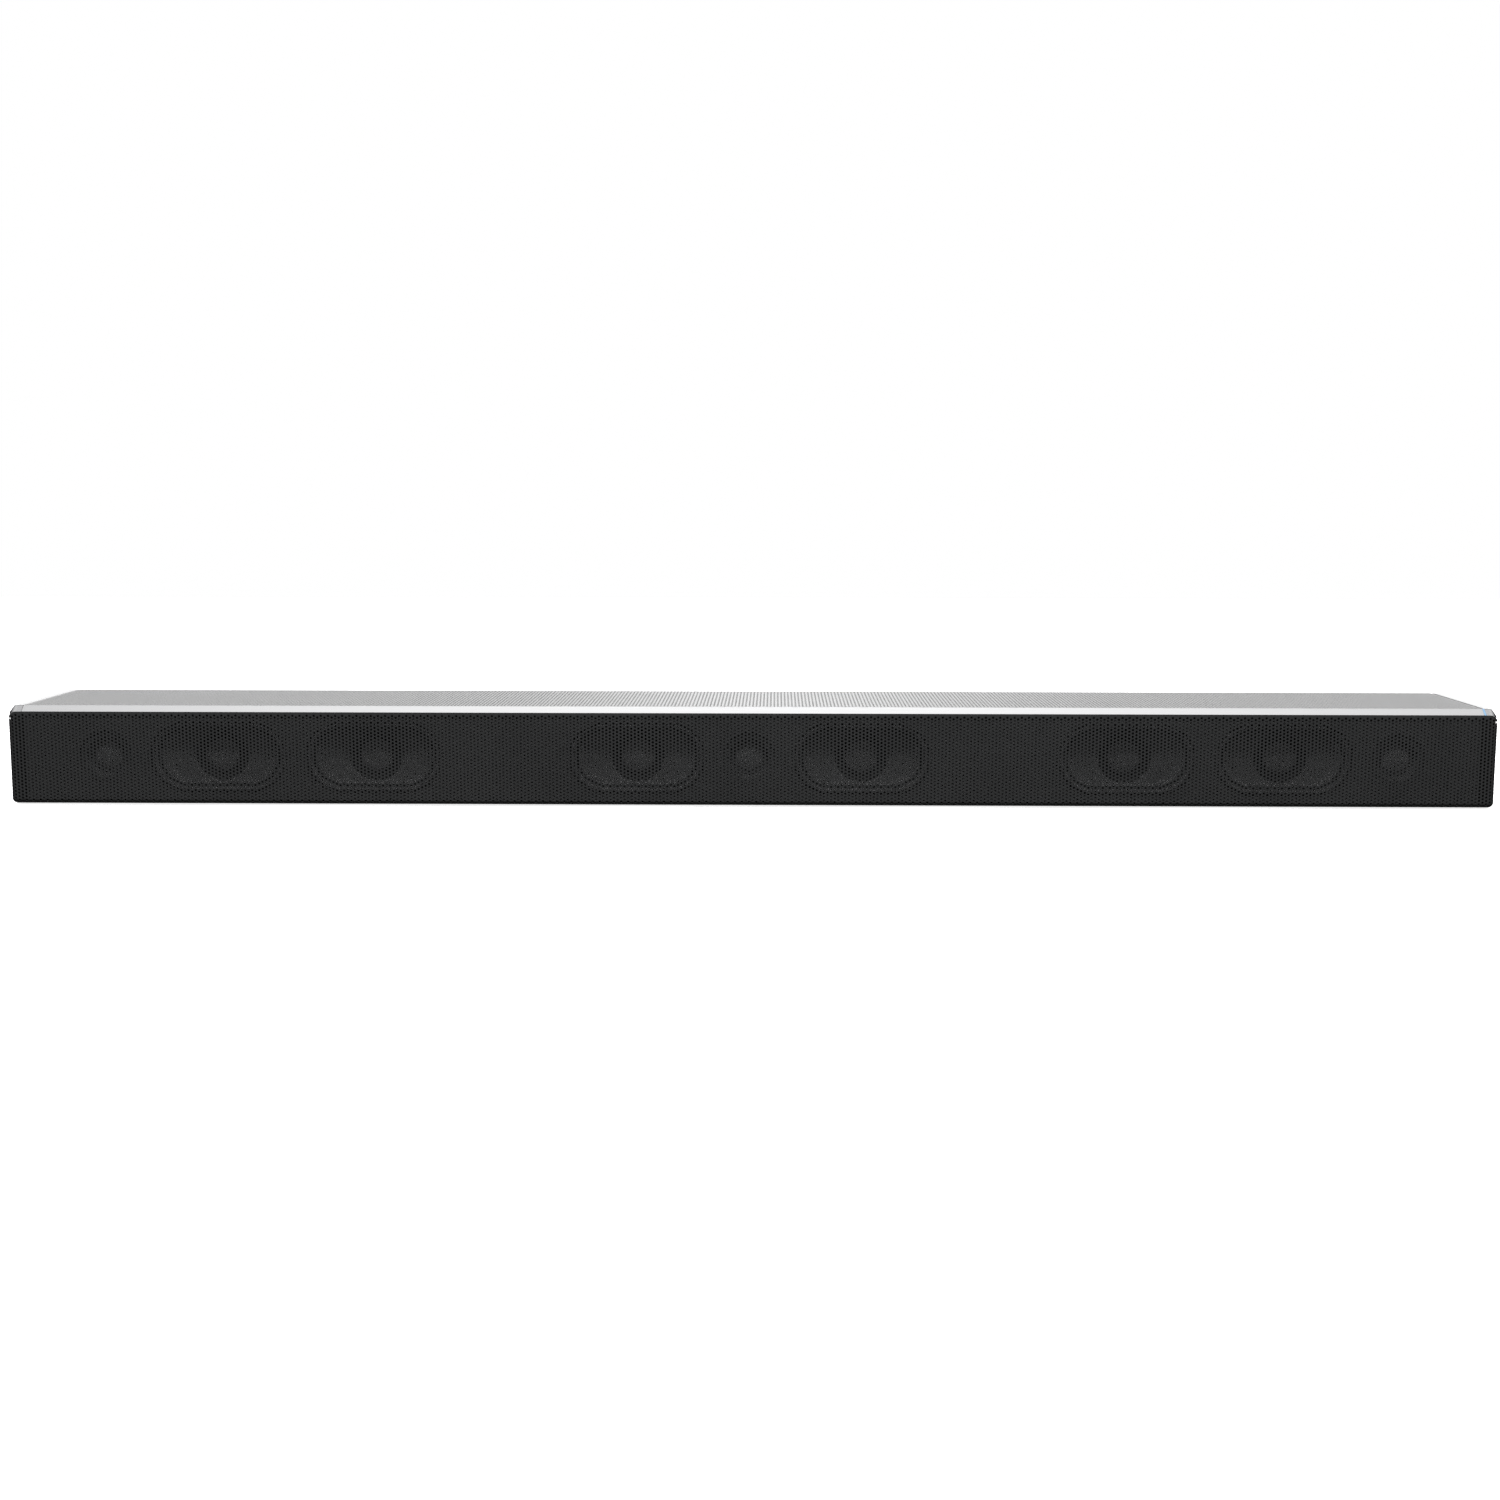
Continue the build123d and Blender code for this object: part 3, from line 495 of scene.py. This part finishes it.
def painted_reflection_cap(name, start, end):
    """The end caps' gloss black with painted reflection: on the front bevel, a painted highlight of bright metal
    beside the seam that fades to gloss black further out; on the flat top, a painted grey like the top sheet that
    stands in for the reflection there; gloss black on the rest. Only the bright painted part is metal. The fade
    runs from start to end, in metres from the bar's middle."""
    material, shader, place = new_material(name)
    shader.inputs["Specular IOR Level"].default_value = 0.3
    nodes, links = material.node_tree.nodes, material.node_tree.links
    split = nodes.new("ShaderNodeSeparateXYZ")
    links.new(place, split.inputs["Vector"])
    size = nodes.new("ShaderNodeMath")
    size.operation = "ABSOLUTE"
    links.new(split.outputs["X"], size.inputs[0])
    fade = nodes.new("ShaderNodeMapRange")
    fade.interpolation_type = "SMOOTHSTEP"
    for socket, number in zip(("From Min", "From Max", "To Min", "To Max"), (start, end, 0.8, 0.2)):
        fade.inputs[socket].default_value = number
    links.new(size.outputs["Value"], fade.inputs["Value"])
    in_front = nodes.new("ShaderNodeMapRange")
    in_front.inputs["From Min"].default_value = (trim_low[1] + bevel_reach + 0.3) * MM
    in_front.inputs["From Max"].default_value = (trim_low[1] + bevel_reach + 0.6) * MM
    in_front.inputs["To Min"].default_value = 1.0
    in_front.inputs["To Max"].default_value = 0.0
    links.new(split.outputs["Y"], in_front.inputs["Value"])
    shown = nodes.new("ShaderNodeMath")
    shown.operation = "MULTIPLY"
    links.new(fade.outputs["Result"], shown.inputs[0])
    links.new(in_front.outputs["Result"], shown.inputs[1])
    drift = noise_of(material, place, 18.0, 3.0)
    mix = nodes.new("ShaderNodeMath")
    mix.operation = "MULTIPLY_ADD"
    mix.inputs[1].default_value = 0.04
    links.new(drift, mix.inputs[0])
    links.new(shown.outputs["Value"], mix.inputs[2])
    # painted highlight: black where the cap is black, bright silver where the reflection is painted on
    bevel = nodes.new("ShaderNodeValToRGB")
    bevel.color_ramp.elements[0].position = 0.3
    bevel.color_ramp.elements[1].position = 0.7
    bevel.color_ramp.elements[0].color = (0.012, 0.012, 0.013, 1)
    bevel.color_ramp.elements[1].color = (0.66, 0.66, 0.67, 1)
    links.new(mix.outputs["Value"], bevel.inputs["Fac"])
    # painted reflection: the flat top turns a plain grey
    is_top = nodes.new("ShaderNodeMapRange")
    is_top.inputs["From Min"].default_value = (top_high[2] - 0.5) * MM
    is_top.inputs["From Max"].default_value = (top_high[2] - 0.1) * MM
    links.new(split.outputs["Z"], is_top.inputs["Value"])
    tone = nodes.new("ShaderNodeMix")
    tone.data_type = "RGBA"
    links.new(is_top.outputs["Result"], tone.inputs["Factor"])
    links.new(bevel.outputs["Color"], tone.inputs["A"])
    tone.inputs["B"].default_value = (0.21, 0.21, 0.213, 1)
    links.new(tone.outputs["Result"], shader.inputs["Base Color"])
    fine = noise_of(material, place, 1400.0, 5.0)
    ramp_to(material, fine, 0.2, 0.3, shader.inputs["Roughness"])
    bump_from(material, fine, shader, 0.05, 0.0001)
    metal = nodes.new("ShaderNodeMapRange")
    metal.inputs["From Min"].default_value = 0.3
    metal.inputs["From Max"].default_value = 0.7
    links.new(mix.outputs["Value"], metal.inputs["Value"])
    links.new(metal.outputs["Result"], shader.inputs["Metallic"])
    return material


def glowing(name, colour, strength):
    """A lit light guide: a milky moulding that glows almost evenly, with a faint cloud in it."""
    material, shader, place = new_material(name)
    cloud = noise_of(material, place, 300.0, 2.0)
    base_dark, base_light, glow_dark = [tuple(c * share for c in colour) for share in (0.04, 0.06, 0.94)]
    ramp_to(material, cloud, base_dark, base_light, shader.inputs["Base Color"])
    ramp_to(material, cloud, glow_dark, colour, shader.inputs["Emission Color"])
    shader.inputs["Emission Strength"].default_value = strength
    shader.inputs["Roughness"].default_value = 0.5
    shader.inputs["Specular IOR Level"].default_value = 0.1
    return material


front_paint = painted("front_sheet_paint", (0.026, 0.0265, 0.027), (0.030, 0.0305, 0.031), 0.5, 2500.0)
top_paint = painted("top_sheet_paint", (0.060, 0.060, 0.061), (0.066, 0.066, 0.067), 0.36, 2500.0)
trim_metal = painted("trim_aluminium", (0.80, 0.80, 0.81), (0.86, 0.86, 0.865), 0.30, 1400.0, metal=1.0,
                     stretch=(0.02, 1, 1), bump=0.1)
housing_black = painted("housing_plastic", (0.017, 0.017, 0.018), (0.022, 0.022, 0.023), 0.55, 4200.0, bump=0.35)
# painted light: the baffle and tweeter plates are a lighter grey than the dark grey front sheet, making up for the
# shade behind the perforated sheet
baffle_painted_light = painted("baffle_plastic", (0.093, 0.093, 0.095), (0.102, 0.102, 0.104), 0.6, 4200.0, bump=0.3)
surround_rubber = painted("surround_rubber", (0.14, 0.14, 0.143), (0.155, 0.155, 0.158), 0.5, 2600.0, bump=0.2)
cone_paper = painted("cone_fibre", (0.165, 0.165, 0.168), (0.19, 0.19, 0.193), 0.62, 1500.0, bump=0.5)
cap_film = painted("dust_cap", (0.24, 0.24, 0.243), (0.26, 0.26, 0.263), 0.35, 1800.0, bump=0.15)
dome_silk = painted("dome_silk", (0.235, 0.235, 0.238), (0.26, 0.26, 0.263), 0.38, 5200.0, bump=0.3)
driver_plastic = painted("driver_frame", (0.014, 0.014, 0.015), (0.019, 0.019, 0.02), 0.5, 3000.0)
# painted shade: the near-black skin behind the hollow ends' holes
painted_shade_black = painted("end_liner_painted_shade", (0.004, 0.004, 0.004), (0.006, 0.006, 0.006), 0.95, 5200.0, bump=0.6)
foot_rubber = painted("foot_rubber", (0.012, 0.012, 0.012), (0.017, 0.017, 0.017), 0.8, 3200.0, bump=0.4)
screw_steel = painted("blackened_steel", (0.07, 0.07, 0.072), (0.1, 0.1, 0.102), 0.35, 2600.0, metal=1.0)
insert_brass = painted("insert_brass", (0.62, 0.46, 0.22), (0.72, 0.55, 0.28), 0.3, 2600.0, metal=1.0)
magnet_iron = painted("motor_plating", (0.22, 0.22, 0.23), (0.3, 0.3, 0.31), 0.4, 1500.0, metal=0.8)
socket_steel = painted("socket_steel", (0.55, 0.55, 0.56), (0.66, 0.66, 0.67), 0.28, 1800.0, metal=1.0)
socket_plastic = painted("socket_plastic", (0.012, 0.012, 0.013), (0.018, 0.018, 0.019), 0.45, 2600.0)
panel_grey = painted("panel_plastic", (0.022, 0.022, 0.023), (0.029, 0.029, 0.03), 0.5, 4200.0, bump=0.3)
board_green = painted("solder_resist", (0.008, 0.07, 0.03), (0.012, 0.1, 0.045), 0.35, 900.0, coat=0.3)
heatsink_metal = painted("heatsink_anodised", (0.05, 0.05, 0.052), (0.07, 0.07, 0.072), 0.4, 1800.0, metal=0.9)
window_smoke = painted("display_window", (0.10, 0.10, 0.102), (0.11, 0.11, 0.112), 0.2, 500.0, coat=0.5, bump=0.02)
spider_cloth = painted("spider_cloth", (0.35, 0.25, 0.11), (0.45, 0.33, 0.16), 0.8, 2200.0, bump=0.6)
button_plastic = painted("button_plastic", (0.02, 0.02, 0.021), (0.026, 0.026, 0.027), 0.42, 4200.0)
light_blue = glowing("status_light", (0.36, 0.58, 0.83), 1.0)

# the end caps: gloss black with a painted highlight along the front bevel and a painted grey reflection on the
# flat top
cap_painted_reflection = painted_reflection_cap("end_cap_painted_reflection", 0.5945, 0.6025)

node_materials = {
    "front_baffle": baffle_painted_light, "top_deck": housing_black, "base_tray": housing_black,
    "chamber_walls": housing_black, "driver_screws": screw_steel, "housing_screws": screw_steel,
    "wall_mount_inserts": insert_brass, "spiders": spider_cloth, "woofer_motors": magnet_iron,
    "tweeter_motors": magnet_iron, "tweeter_plates": baffle_painted_light, "upfiring_housings": housing_black,
    "upfiring_frames": driver_plastic, "upfiring_motors": magnet_iron, "connector_panel": panel_grey,
    "hdmi_sockets": socket_steel, "optical_socket": socket_plastic, "optical_shutter": socket_plastic,
    "aux_jack": socket_plastic, "service_port": socket_steel, "power_jack": socket_plastic,
    "main_board": board_green, "amplifier_board": board_green, "button_board": board_green,
    "display_board": board_green, "display_window": window_smoke, "heatsink": heatsink_metal,
    "tact_switches": socket_plastic,
}
for number in range(1, 7):
    node_materials[f"woofer_frame_{number}"] = driver_plastic
for node, material in node_materials.items():
    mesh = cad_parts[node].data
    mesh.materials.clear()
    mesh.materials.append(material)


# ======================================================================
# casing
# ======================================================================
def cabinet_piece(piece, slot, *nodes):
    """A piece that is fixed to the cabinet and stands for some of its nodes."""
    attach(piece, "cabinet")
    if nodes:
        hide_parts(*nodes)
    return piece


def front_sheets():
    """The front sheet in three lengths that meet on lands between two columns of holes."""
    arc_end = half - edge_radius + edge_radius * pi / 2
    reach = arc_end + end_return
    third = (round(reach / 3 / column_step) + 0.5) * column_step
    cuts = [-reach, -third, third, reach]
    low = sheet_low + bottom_radius - bottom_radius * pi / 2 - under_return
    for i, part in enumerate(("left", "middle", "right")):
        piece = perforated_sheet(
            f"front-sheet-{part}", sheet_position, front_paint, cuts[i : i + 2],
            lambda u: low + 0 * u, sheet_top_edge, sheet_high, front_hole_radius,
            arc_end, sheet_low + bottom_radius - 1.0,
        )
        cabinet_piece(piece, "front_sheet", "front_grille")


def top_sheets():
    """The top sheet in four lengths that meet on lands between two columns of holes."""
    reach = top_high[0]
    quarter = (round(reach / 2 / column_step) + 0.5) * column_step
    middle = 0.5 * column_step
    cuts = [-reach, -quarter, middle, quarter, reach]
    for i, part in enumerate(("far-left", "left", "right", "far-right")):
        piece = perforated_sheet(
            f"top-sheet-{part}", top_position, top_paint, cuts[i : i + 2],
            lambda u: top_low[1] + 0 * u, lambda u: top_high[1] + 0 * u, top_low[1],
            top_hole_radius, reach, top_low[1] + top_hole_radius + edge_land,
        )
        cabinet_piece(piece, "top_sheet", "top_grille")


ledge_start = 6.5


def bevel_section(reach):
    """The trim's section as (y, z) corners: lower front, top front, then the top and bottom at reach."""
    y0, z0 = trim_low[1], trim_low[2]
    z1 = trim_high[2]
    return [(y0, z0), (y0 + bevel_reach, z1), (y0 + reach, z1), (y0 + reach, z0)]


def end_liners():
    """A near-black skin in the two hollow ends, seen through the holes: it closes the view through them and, as
    painted shade, stands in for the dark inside. A closed skin that follows the front sheet from inside, round the
    end and in under the cabinet, between two depths."""
    arc_end = half - edge_radius + edge_radius * pi / 2
    low = sheet_low + bottom_radius - bottom_radius * pi / 2 - under_return
    for side, name in ((-1, "left"), (1, "right")):
        u = side * np.linspace(baffle_high[0] - 0.8, arc_end + end_return, 40)
        share = np.linspace(0, 1, 60)[:, None]
        v = low + share * (sheet_top_edge(u) - 0.3 - low)
        skins = [sheet_position(u[None] + 0 * v, v, depth).reshape(-1, 3) for depth in (1.3, 1.8)]
        n_row, n_col = v.shape
        outer = grid_faces(n_row, n_col)
        edge = np.concatenate([
            np.arange(n_col), np.arange(1, n_row) * n_col + n_col - 1,
            (n_row - 1) * n_col + np.arange(n_col - 1)[::-1], np.arange(1, n_row - 1)[::-1] * n_col,
        ])
        after = np.roll(edge, -1)
        count = n_row * n_col
        rim = np.stack([after, edge, edge + count, after + count], 1)
        faces = [outer, outer[:, ::-1] + count, rim]
        if side < 0:
            faces = [f[:, ::-1] for f in faces]
        cabinet_piece(mesh_piece(f"end-liner-{name}", np.concatenate(skins), faces, painted_shade_black), "housing_black")


front_sheets()
end_liners()
top_sheets()
trim = swept_bar("top-trim-bar", bevel_section(ledge_start), trim_low[0], trim_high[0], trim_metal)
cabinet_piece(trim, "trim_metal", "top_trim")
# the trim's flat top ledge gets the top sheet's grey paint, not aluminium: painted shade that keeps the bright
# reflection off the ledge
ledge_outline = [
    (trim_low[1] + ledge_start, trim_low[2]), (trim_low[1] + ledge_start, trim_high[2]),
    (trim_high[1], trim_high[2]), (trim_high[1], trim_low[2]),
]
ledge = swept_bar("top-trim-ledge", ledge_outline, trim_low[0], trim_high[0], top_paint, 0.1)
cabinet_piece(ledge, "top_sheet", "top_trim")
light_low, light_high = [np.array(corner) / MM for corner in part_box("status_light")]
light_outline = bevel_section(trim_high[1] - trim_low[1])
light = swept_bar("status-light-guide", light_outline, light_low[0], light_high[0], light_blue, 0.2)
cabinet_piece(light, "light_guide", "status_light")
for node, material, slot, width in (
    ("left_end_cap", cap_painted_reflection, "gloss_black", 0.35),
    ("right_end_cap", cap_painted_reflection, "gloss_black", 0.35),
    ("rear_cover", housing_black, "housing_black", 0.5),
):
    cabinet_piece(softened(node, material, width), slot, node)


def feet():
    """Rubber feet: short lathed discs with a rounded lower rim and a shallow ring groove."""
    low, high = [np.array(corner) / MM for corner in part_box("feet")]
    radius = 11.0
    profile = [
        (radius, high[2]), (radius, 0.7), (radius - 0.25, 0.25), (radius - 0.8, 0.0),
        (radius - 2.6, 0.0), (radius - 2.9, 0.35), (radius - 3.5, 0.35), (radius - 3.8, 0.0), (1.0, 0.0),
    ]
    places = [(x, y) for x in (low[0] + radius, high[0] - radius) for y in (low[1] + radius, high[1] - radius)]
    for number, (x, y) in enumerate(places, start=1):
        foot = lathe(f"foot-pad-{number}", profile[::-1], (x, y, 0), (0, 0, 1), foot_rubber)
        cabinet_piece(foot, "foot_rubber", "feet")


feet()


# ======================================================================
# drivers
# ======================================================================
def roll_profile(outer, inner, rise, lip, steps=9):
    """A half roll between two racetracks: flat lip, then half a circle that rises towards the listener."""
    ow, oh = outer
    iw, ih = inner
    rows = [(ow + 2 * lip, oh + 2 * lip, 0.0)]
    for t in np.linspace(0, 1, steps):
        rows.append((ow + (iw - ow) * t, oh + (ih - oh) * t, -rise * sin(pi * t)))
    return rows


def stretch_surround(piece, inner_size, outer_size, basis):
    """Bakes a surround's placement into its mesh and works out, for each point, a share that follows the distance
    in from the roll's outer racetrack, eased at both ends. The share is not stored or used, so the surround does
    not follow its cone."""
    middle, right, up, inward = basis
    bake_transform(piece)
    co = np.empty(len(piece.data.vertices) * 3)
    piece.data.vertices.foreach_get("co", co)
    offset = co.reshape(-1, 3) / MM - middle
    x, z = np.abs(offset @ right), np.abs(offset @ up)
    straight = (outer_size[0] - outer_size[1]) / 2
    reach = np.hypot(np.maximum(x - straight, 0), z)
    inner_reach, outer_reach = inner_size[1] / 2, outer_size[1] / 2
    share = np.clip((outer_reach - reach) / (outer_reach - inner_reach), 0, 1)
    share = share * share * (3 - 2 * share)


def cone_profile(start, end, sag, steps=12):
    """A stretch of cone between two racetracks, each (width, height, depth), bowed a little forward."""
    start, end = np.array(start), np.array(end)
    rows = []
    for t in np.linspace(0, 1, steps):
        width, height, depth = start + (end - start) * t
        rows.append((width, height, depth - sag * sin(pi * t)))
    return rows


def cap_profile(radius, rise, base, steps=8):
    """A spherical cap: rings that shrink as they come forward."""
    return [(2 * radius * cos(a), 2 * radius * cos(a), base - rise * sin(a))
            for a in np.linspace(0, pi / 2 * 0.97, steps)]


def woofer(number, x, z):
    """One racetrack woofer: a rolled surround, a glue line, a cone that drops steeply behind its rim and then
    slopes to a waist, a neck in black frame plastic as painted shade for the dark valley round the cap, and a
    round cap with its ring and coil."""
    body = f"woofer_cone_{number}"
    basis = driver_basis(x, baffle_back, z)
    roll_outer, roll_inner = (111.0, 57.5), (100.0, 49.0)
    surround = ring_surface(
        f"woofer-surround-{number}", thick(roll_profile(roll_outer, roll_inner, 3.5, 1.2), 0.5), basis,
        surround_rubber, 128, close=True,
    )
    stretch_surround(surround, roll_inner, roll_outer, basis)
    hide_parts("woofer_surrounds")
    rim, edge = (100.6, 49.6, 0.0), (95.4, 44.4, 0.9)
    shoulder, waist, throat = (84.0, 42.0, 6.4), (43.0, 40.5, 9.2), (28.0, 28.0, 12.8)
    slope = cone_profile(edge, shoulder, 0.2, 5) + cone_profile(shoulder, waist, 0.3, 10)[1:]
    glue_line = ring_surface(
        f"woofer-glue-line-{number}", thick(cone_profile(rim, edge, 0.0, 4), 0.6), basis, driver_plastic, 128,
        close=True,
    )
    cone = ring_surface(
        f"woofer-cone-{number}", thick(slope, 0.6), basis, cone_paper, 128, close=True,
    )
    # painted shade: the neck is black so that the deep valley round the cap reads dark
    neck = ring_surface(
        f"woofer-neck-{number}", thick(cone_profile(waist, throat, 0.4), 0.6), basis, driver_plastic, 128,
        close=True,
    )
    cap = ring_surface(
        f"woofer-cap-{number}", cap_profile(14.0, 3.6, 11.6), basis, cap_film, 64, pole=True,
    )
    glue = ring_surface(
        f"woofer-cap-ring-{number}",
        [(29.8, 29.8, 11.6), (29.4, 29.4, 10.6), (28.4, 28.4, 10.2), (27.6, 27.6, 10.8), (27.6, 27.6, 11.6)],
        basis, driver_plastic, 64, close=True,
    )
    coil = ring_surface(
        f"woofer-coil-{number}",
        [(26.4, 26.4, 12.0), (26.4, 26.4, 28.4), (25.2, 25.2, 28.4), (25.2, 25.2, 12.0)],
        basis, insert_brass, 48, close=True,
    )
    slots = ((cone, "cone_paper"), (neck, "driver_plastic"), (glue_line, "driver_plastic"), (cap, "cone_paper"),
             (glue, "driver_plastic"), (coil, "insert_brass"))
    for piece, slot in slots:
        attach(piece, body)
    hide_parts(body)


def node_back(node):
    """How far back a node reaches, in millimetres."""
    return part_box(node)[1][1] / MM


def tweeter(name, x, z):
    """One tweeter: a spherical dome and its narrow surround, set back behind the baffle."""
    body = f"tweeter_dome_{name}"
    basis = driver_basis(x, baffle_back, z)
    dome_base = node_back("tweeter_surrounds") - baffle_back
    dome = ring_surface(
        f"tweeter-dome-{name}", cap_profile(12.4, 3.5, dome_base, 12), basis, dome_silk, 64, pole=True,
    )
    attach(dome, body)
    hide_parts(body)
    outer, inner = (27.6, 27.6), (24.8, 24.8)
    half_roll = [(w, h, d + dome_base - 0.2) for w, h, d in roll_profile(outer, inner, 0.7, 0.1)]
    roll = ring_surface(
        f"tweeter-surround-{name}", thick(half_roll, 0.2), basis, surround_rubber, 64, close=True,
    )
    stretch_surround(roll, inner, outer, basis)
    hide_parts("tweeter_surrounds")


def upfiring(name, x):
    """One round driver on the slanted face: surround, cone, cap and coil, square to that face."""
    body = f"upfiring_cone_{name}"
    basis = driver_basis(x, *upfiring_face, upfiring_tilt)
    outer, inner = (64.0, 64.0), (54.0, 54.0)
    roll = ring_surface(
        f"upfiring-surround-{name}",
        thick([(w, h, d - 1.0) for w, h, d in roll_profile(outer, inner, 2.2, 2.0)], 0.5),
        basis, surround_rubber, 96, close=True,
    )
    stretch_surround(roll, inner, outer, basis)
    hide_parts("upfiring_surrounds")
    cone = ring_surface(
        f"upfiring-cone-{name}", thick(cone_profile((54.6, 54.6, 0.0), (21.0, 21.0, 10.3), 0.6), 0.4), basis,
        cone_paper, 96, close=True,
    )
    cap = ring_surface(f"upfiring-cap-{name}", cap_profile(10.8, 4.2, 9.2), basis, cap_film, 64, pole=True)
    coil = ring_surface(
        f"upfiring-coil-{name}",
        [(19.4, 19.4, 10.4), (19.4, 19.4, 22.0), (18.4, 18.4, 22.0), (18.4, 18.4, 10.4)],
        basis, insert_brass, 48, close=True,
    )
    for piece, slot in ((cone, "cone_paper"), (cap, "cone_paper"), (coil, "insert_brass")):
        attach(piece, body)
    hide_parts(body)


def node_middle(node):
    """The middle of a node's box, in millimetres."""
    low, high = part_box(node)
    return (np.array(low) + np.array(high)) / 2 / MM


for number in range(1, 7):
    middle = node_middle(f"woofer_cone_{number}")
    woofer(number, middle[0], middle[2])
for name in ("left", "centre", "right"):
    middle = node_middle(f"tweeter_dome_{name}")
    tweeter(name, middle[0], middle[2])
for name in ("left", "right"):
    upfiring(name, node_middle(f"upfiring_cone_{name}")[0])

for name in ("power", "source", "volume_down", "volume_up"):
    button = softened(f"{name}_button", button_plastic, 0.35)
    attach(button, f"{name}_button")
    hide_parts(f"{name}_button")


# ======================================================================
# studio
# ======================================================================
room_front = 0.05
room_back = 1.75
room_back_middle = 3.0
room_above = 1.25
room_ends = 0.45


def soft_light(name, place, target, size, power):
    """A rectangular soft light that faces a target. It lights, but no polished edge mirrors it."""
    data = bpy.data.lights.new(name, "AREA")
    data.shape = "RECTANGLE"
    data.size, data.size_y = size
    data.energy = power
    light = bpy.data.objects.new(name, data)
    bpy.context.scene.collection.objects.link(light)
    light.visible_glossy = False
    light.location = place
    light.rotation_euler = (Vector(target) - Vector(place)).to_track_quat("-Z", "Y").to_euler()


def studio_world():
    """A white surround. The camera sees plain white. The light that the room gives is strongest
    from behind, a little weaker from above, weak from the listener's side, and fades to the ends."""
    world = bpy.data.worlds.new("studio")
    world.use_nodes = True
    nodes, links = world.node_tree.nodes, world.node_tree.links
    back = nodes["Background"]
    back.inputs["Color"].default_value = (1, 1, 1, 1)
    place = nodes.new("ShaderNodeTexCoord")
    split = nodes.new("ShaderNodeSeparateXYZ")
    links.new(place.outputs["Generated"], split.inputs["Vector"])

    def spread(value, low, high, at_low, at_high):
        """Eases from one number to another while the value runs from low to high."""
        node = nodes.new("ShaderNodeMapRange")
        node.interpolation_type = "SMOOTHSTEP"
        for socket, number in zip(("From Min", "From Max", "To Min", "To Max"), (low, high, at_low, at_high)):
            node.inputs[socket].default_value = number
        links.new(value, node.inputs["Value"])
        return node.outputs["Result"]

    def combine(kind, first, second=None):
        """One Math node on one or two values."""
        node = nodes.new("ShaderNodeMath")
        node.operation = kind
        links.new(first, node.inputs[0])
        if second is not None:
            links.new(second, node.inputs[1])
        return node.outputs["Value"]

    sideways = combine("ABSOLUTE", split.outputs["X"])
    middle = spread(sideways, 0.0, 0.16, room_back_middle / room_back, 1.0)
    depth = spread(split.outputs["Y"], 0.3, 0.95, room_front, room_back)
    height = spread(split.outputs["Z"], 0.3, 0.9, 0.0, room_above)
    ends = spread(sideways, 0.0, 0.55, 1.0, room_ends)
    light = combine("MAXIMUM", combine("MULTIPLY", depth, middle), combine("MULTIPLY", height, ends))
    ray = nodes.new("ShaderNodeLightPath")
    choose = nodes.new("ShaderNodeMix")
    links.new(ray.outputs["Is Camera Ray"], choose.inputs["Factor"])
    links.new(light, choose.inputs["A"])
    choose.inputs["B"].default_value = 1.0
    links.new(choose.outputs["Result"], back.inputs["Strength"])
    bpy.context.scene.world = world


def studio_camera():
    """The viewing angle: yaw to the right, pitch down and a trace of roll."""
    data = bpy.data.cameras.new("camera")
    data.sensor_width = 36.0
    data.lens = 45.796
    data.clip_start = 0.01
    camera = bpy.data.objects.new("camera", data)
    bpy.context.scene.collection.objects.link(camera)
    yaw, pitch, roll = radians(0.761), radians(7.695), radians(0.069)
    right = Vector((cos(yaw), sin(yaw), 0))
    ahead = Vector((-sin(yaw), cos(yaw), 0))
    up = Vector((0, 0, 1))
    look = ahead * cos(pitch) - up * sin(pitch)
    rise = up * cos(pitch) + ahead * sin(pitch)
    side = right * cos(roll) + rise * sin(roll)
    rise = rise * cos(roll) - right * sin(roll)
    turn = Matrix((side, rise, -look)).transposed()
    camera.matrix_world = Matrix.Translation((0.02106, -1.60025, 0.25492)) @ turn.to_4x4()
    bpy.context.scene.camera = camera


def studio_floor():
    """A plain pale floor: a flat square under the feet, z constant, x and y within its reach. It
    takes the bar's shadow and gives a little light of its own, but sends none back at the bar."""
    reach, level = 3.0, cad_box[0][2]
    corners = np.array([(-1, -1), (1, -1), (1, 1), (-1, 1)]) * reach
    mesh = bpy.data.meshes.new("floor")
    mesh.from_pydata(np.column_stack([corners, np.full(4, level)]).tolist(), [], [(0, 1, 2, 3)])
    floor = bpy.data.objects.new("floor", mesh)
    bpy.context.scene.collection.objects.link(floor)
    material, shader, _ = new_material("pale_floor")
    shader.inputs["Base Color"].default_value = (0.9, 0.9, 0.9, 1)
    shader.inputs["Roughness"].default_value = 0.8
    shader.inputs["Emission Color"].default_value = (1, 1, 1, 1)
    shader.inputs["Emission Strength"].default_value = 0.85
    mesh.materials.append(material)
    floor.visible_diffuse = False
    floor.visible_glossy = False


studio_world()
studio_camera()
studio_floor()
soft_light("upper_front", (0, -0.98, 2.04), (0, 0, 0.04), (1.6, 0.35), 108)
bpy.context.scene.view_settings.view_transform = "Standard"
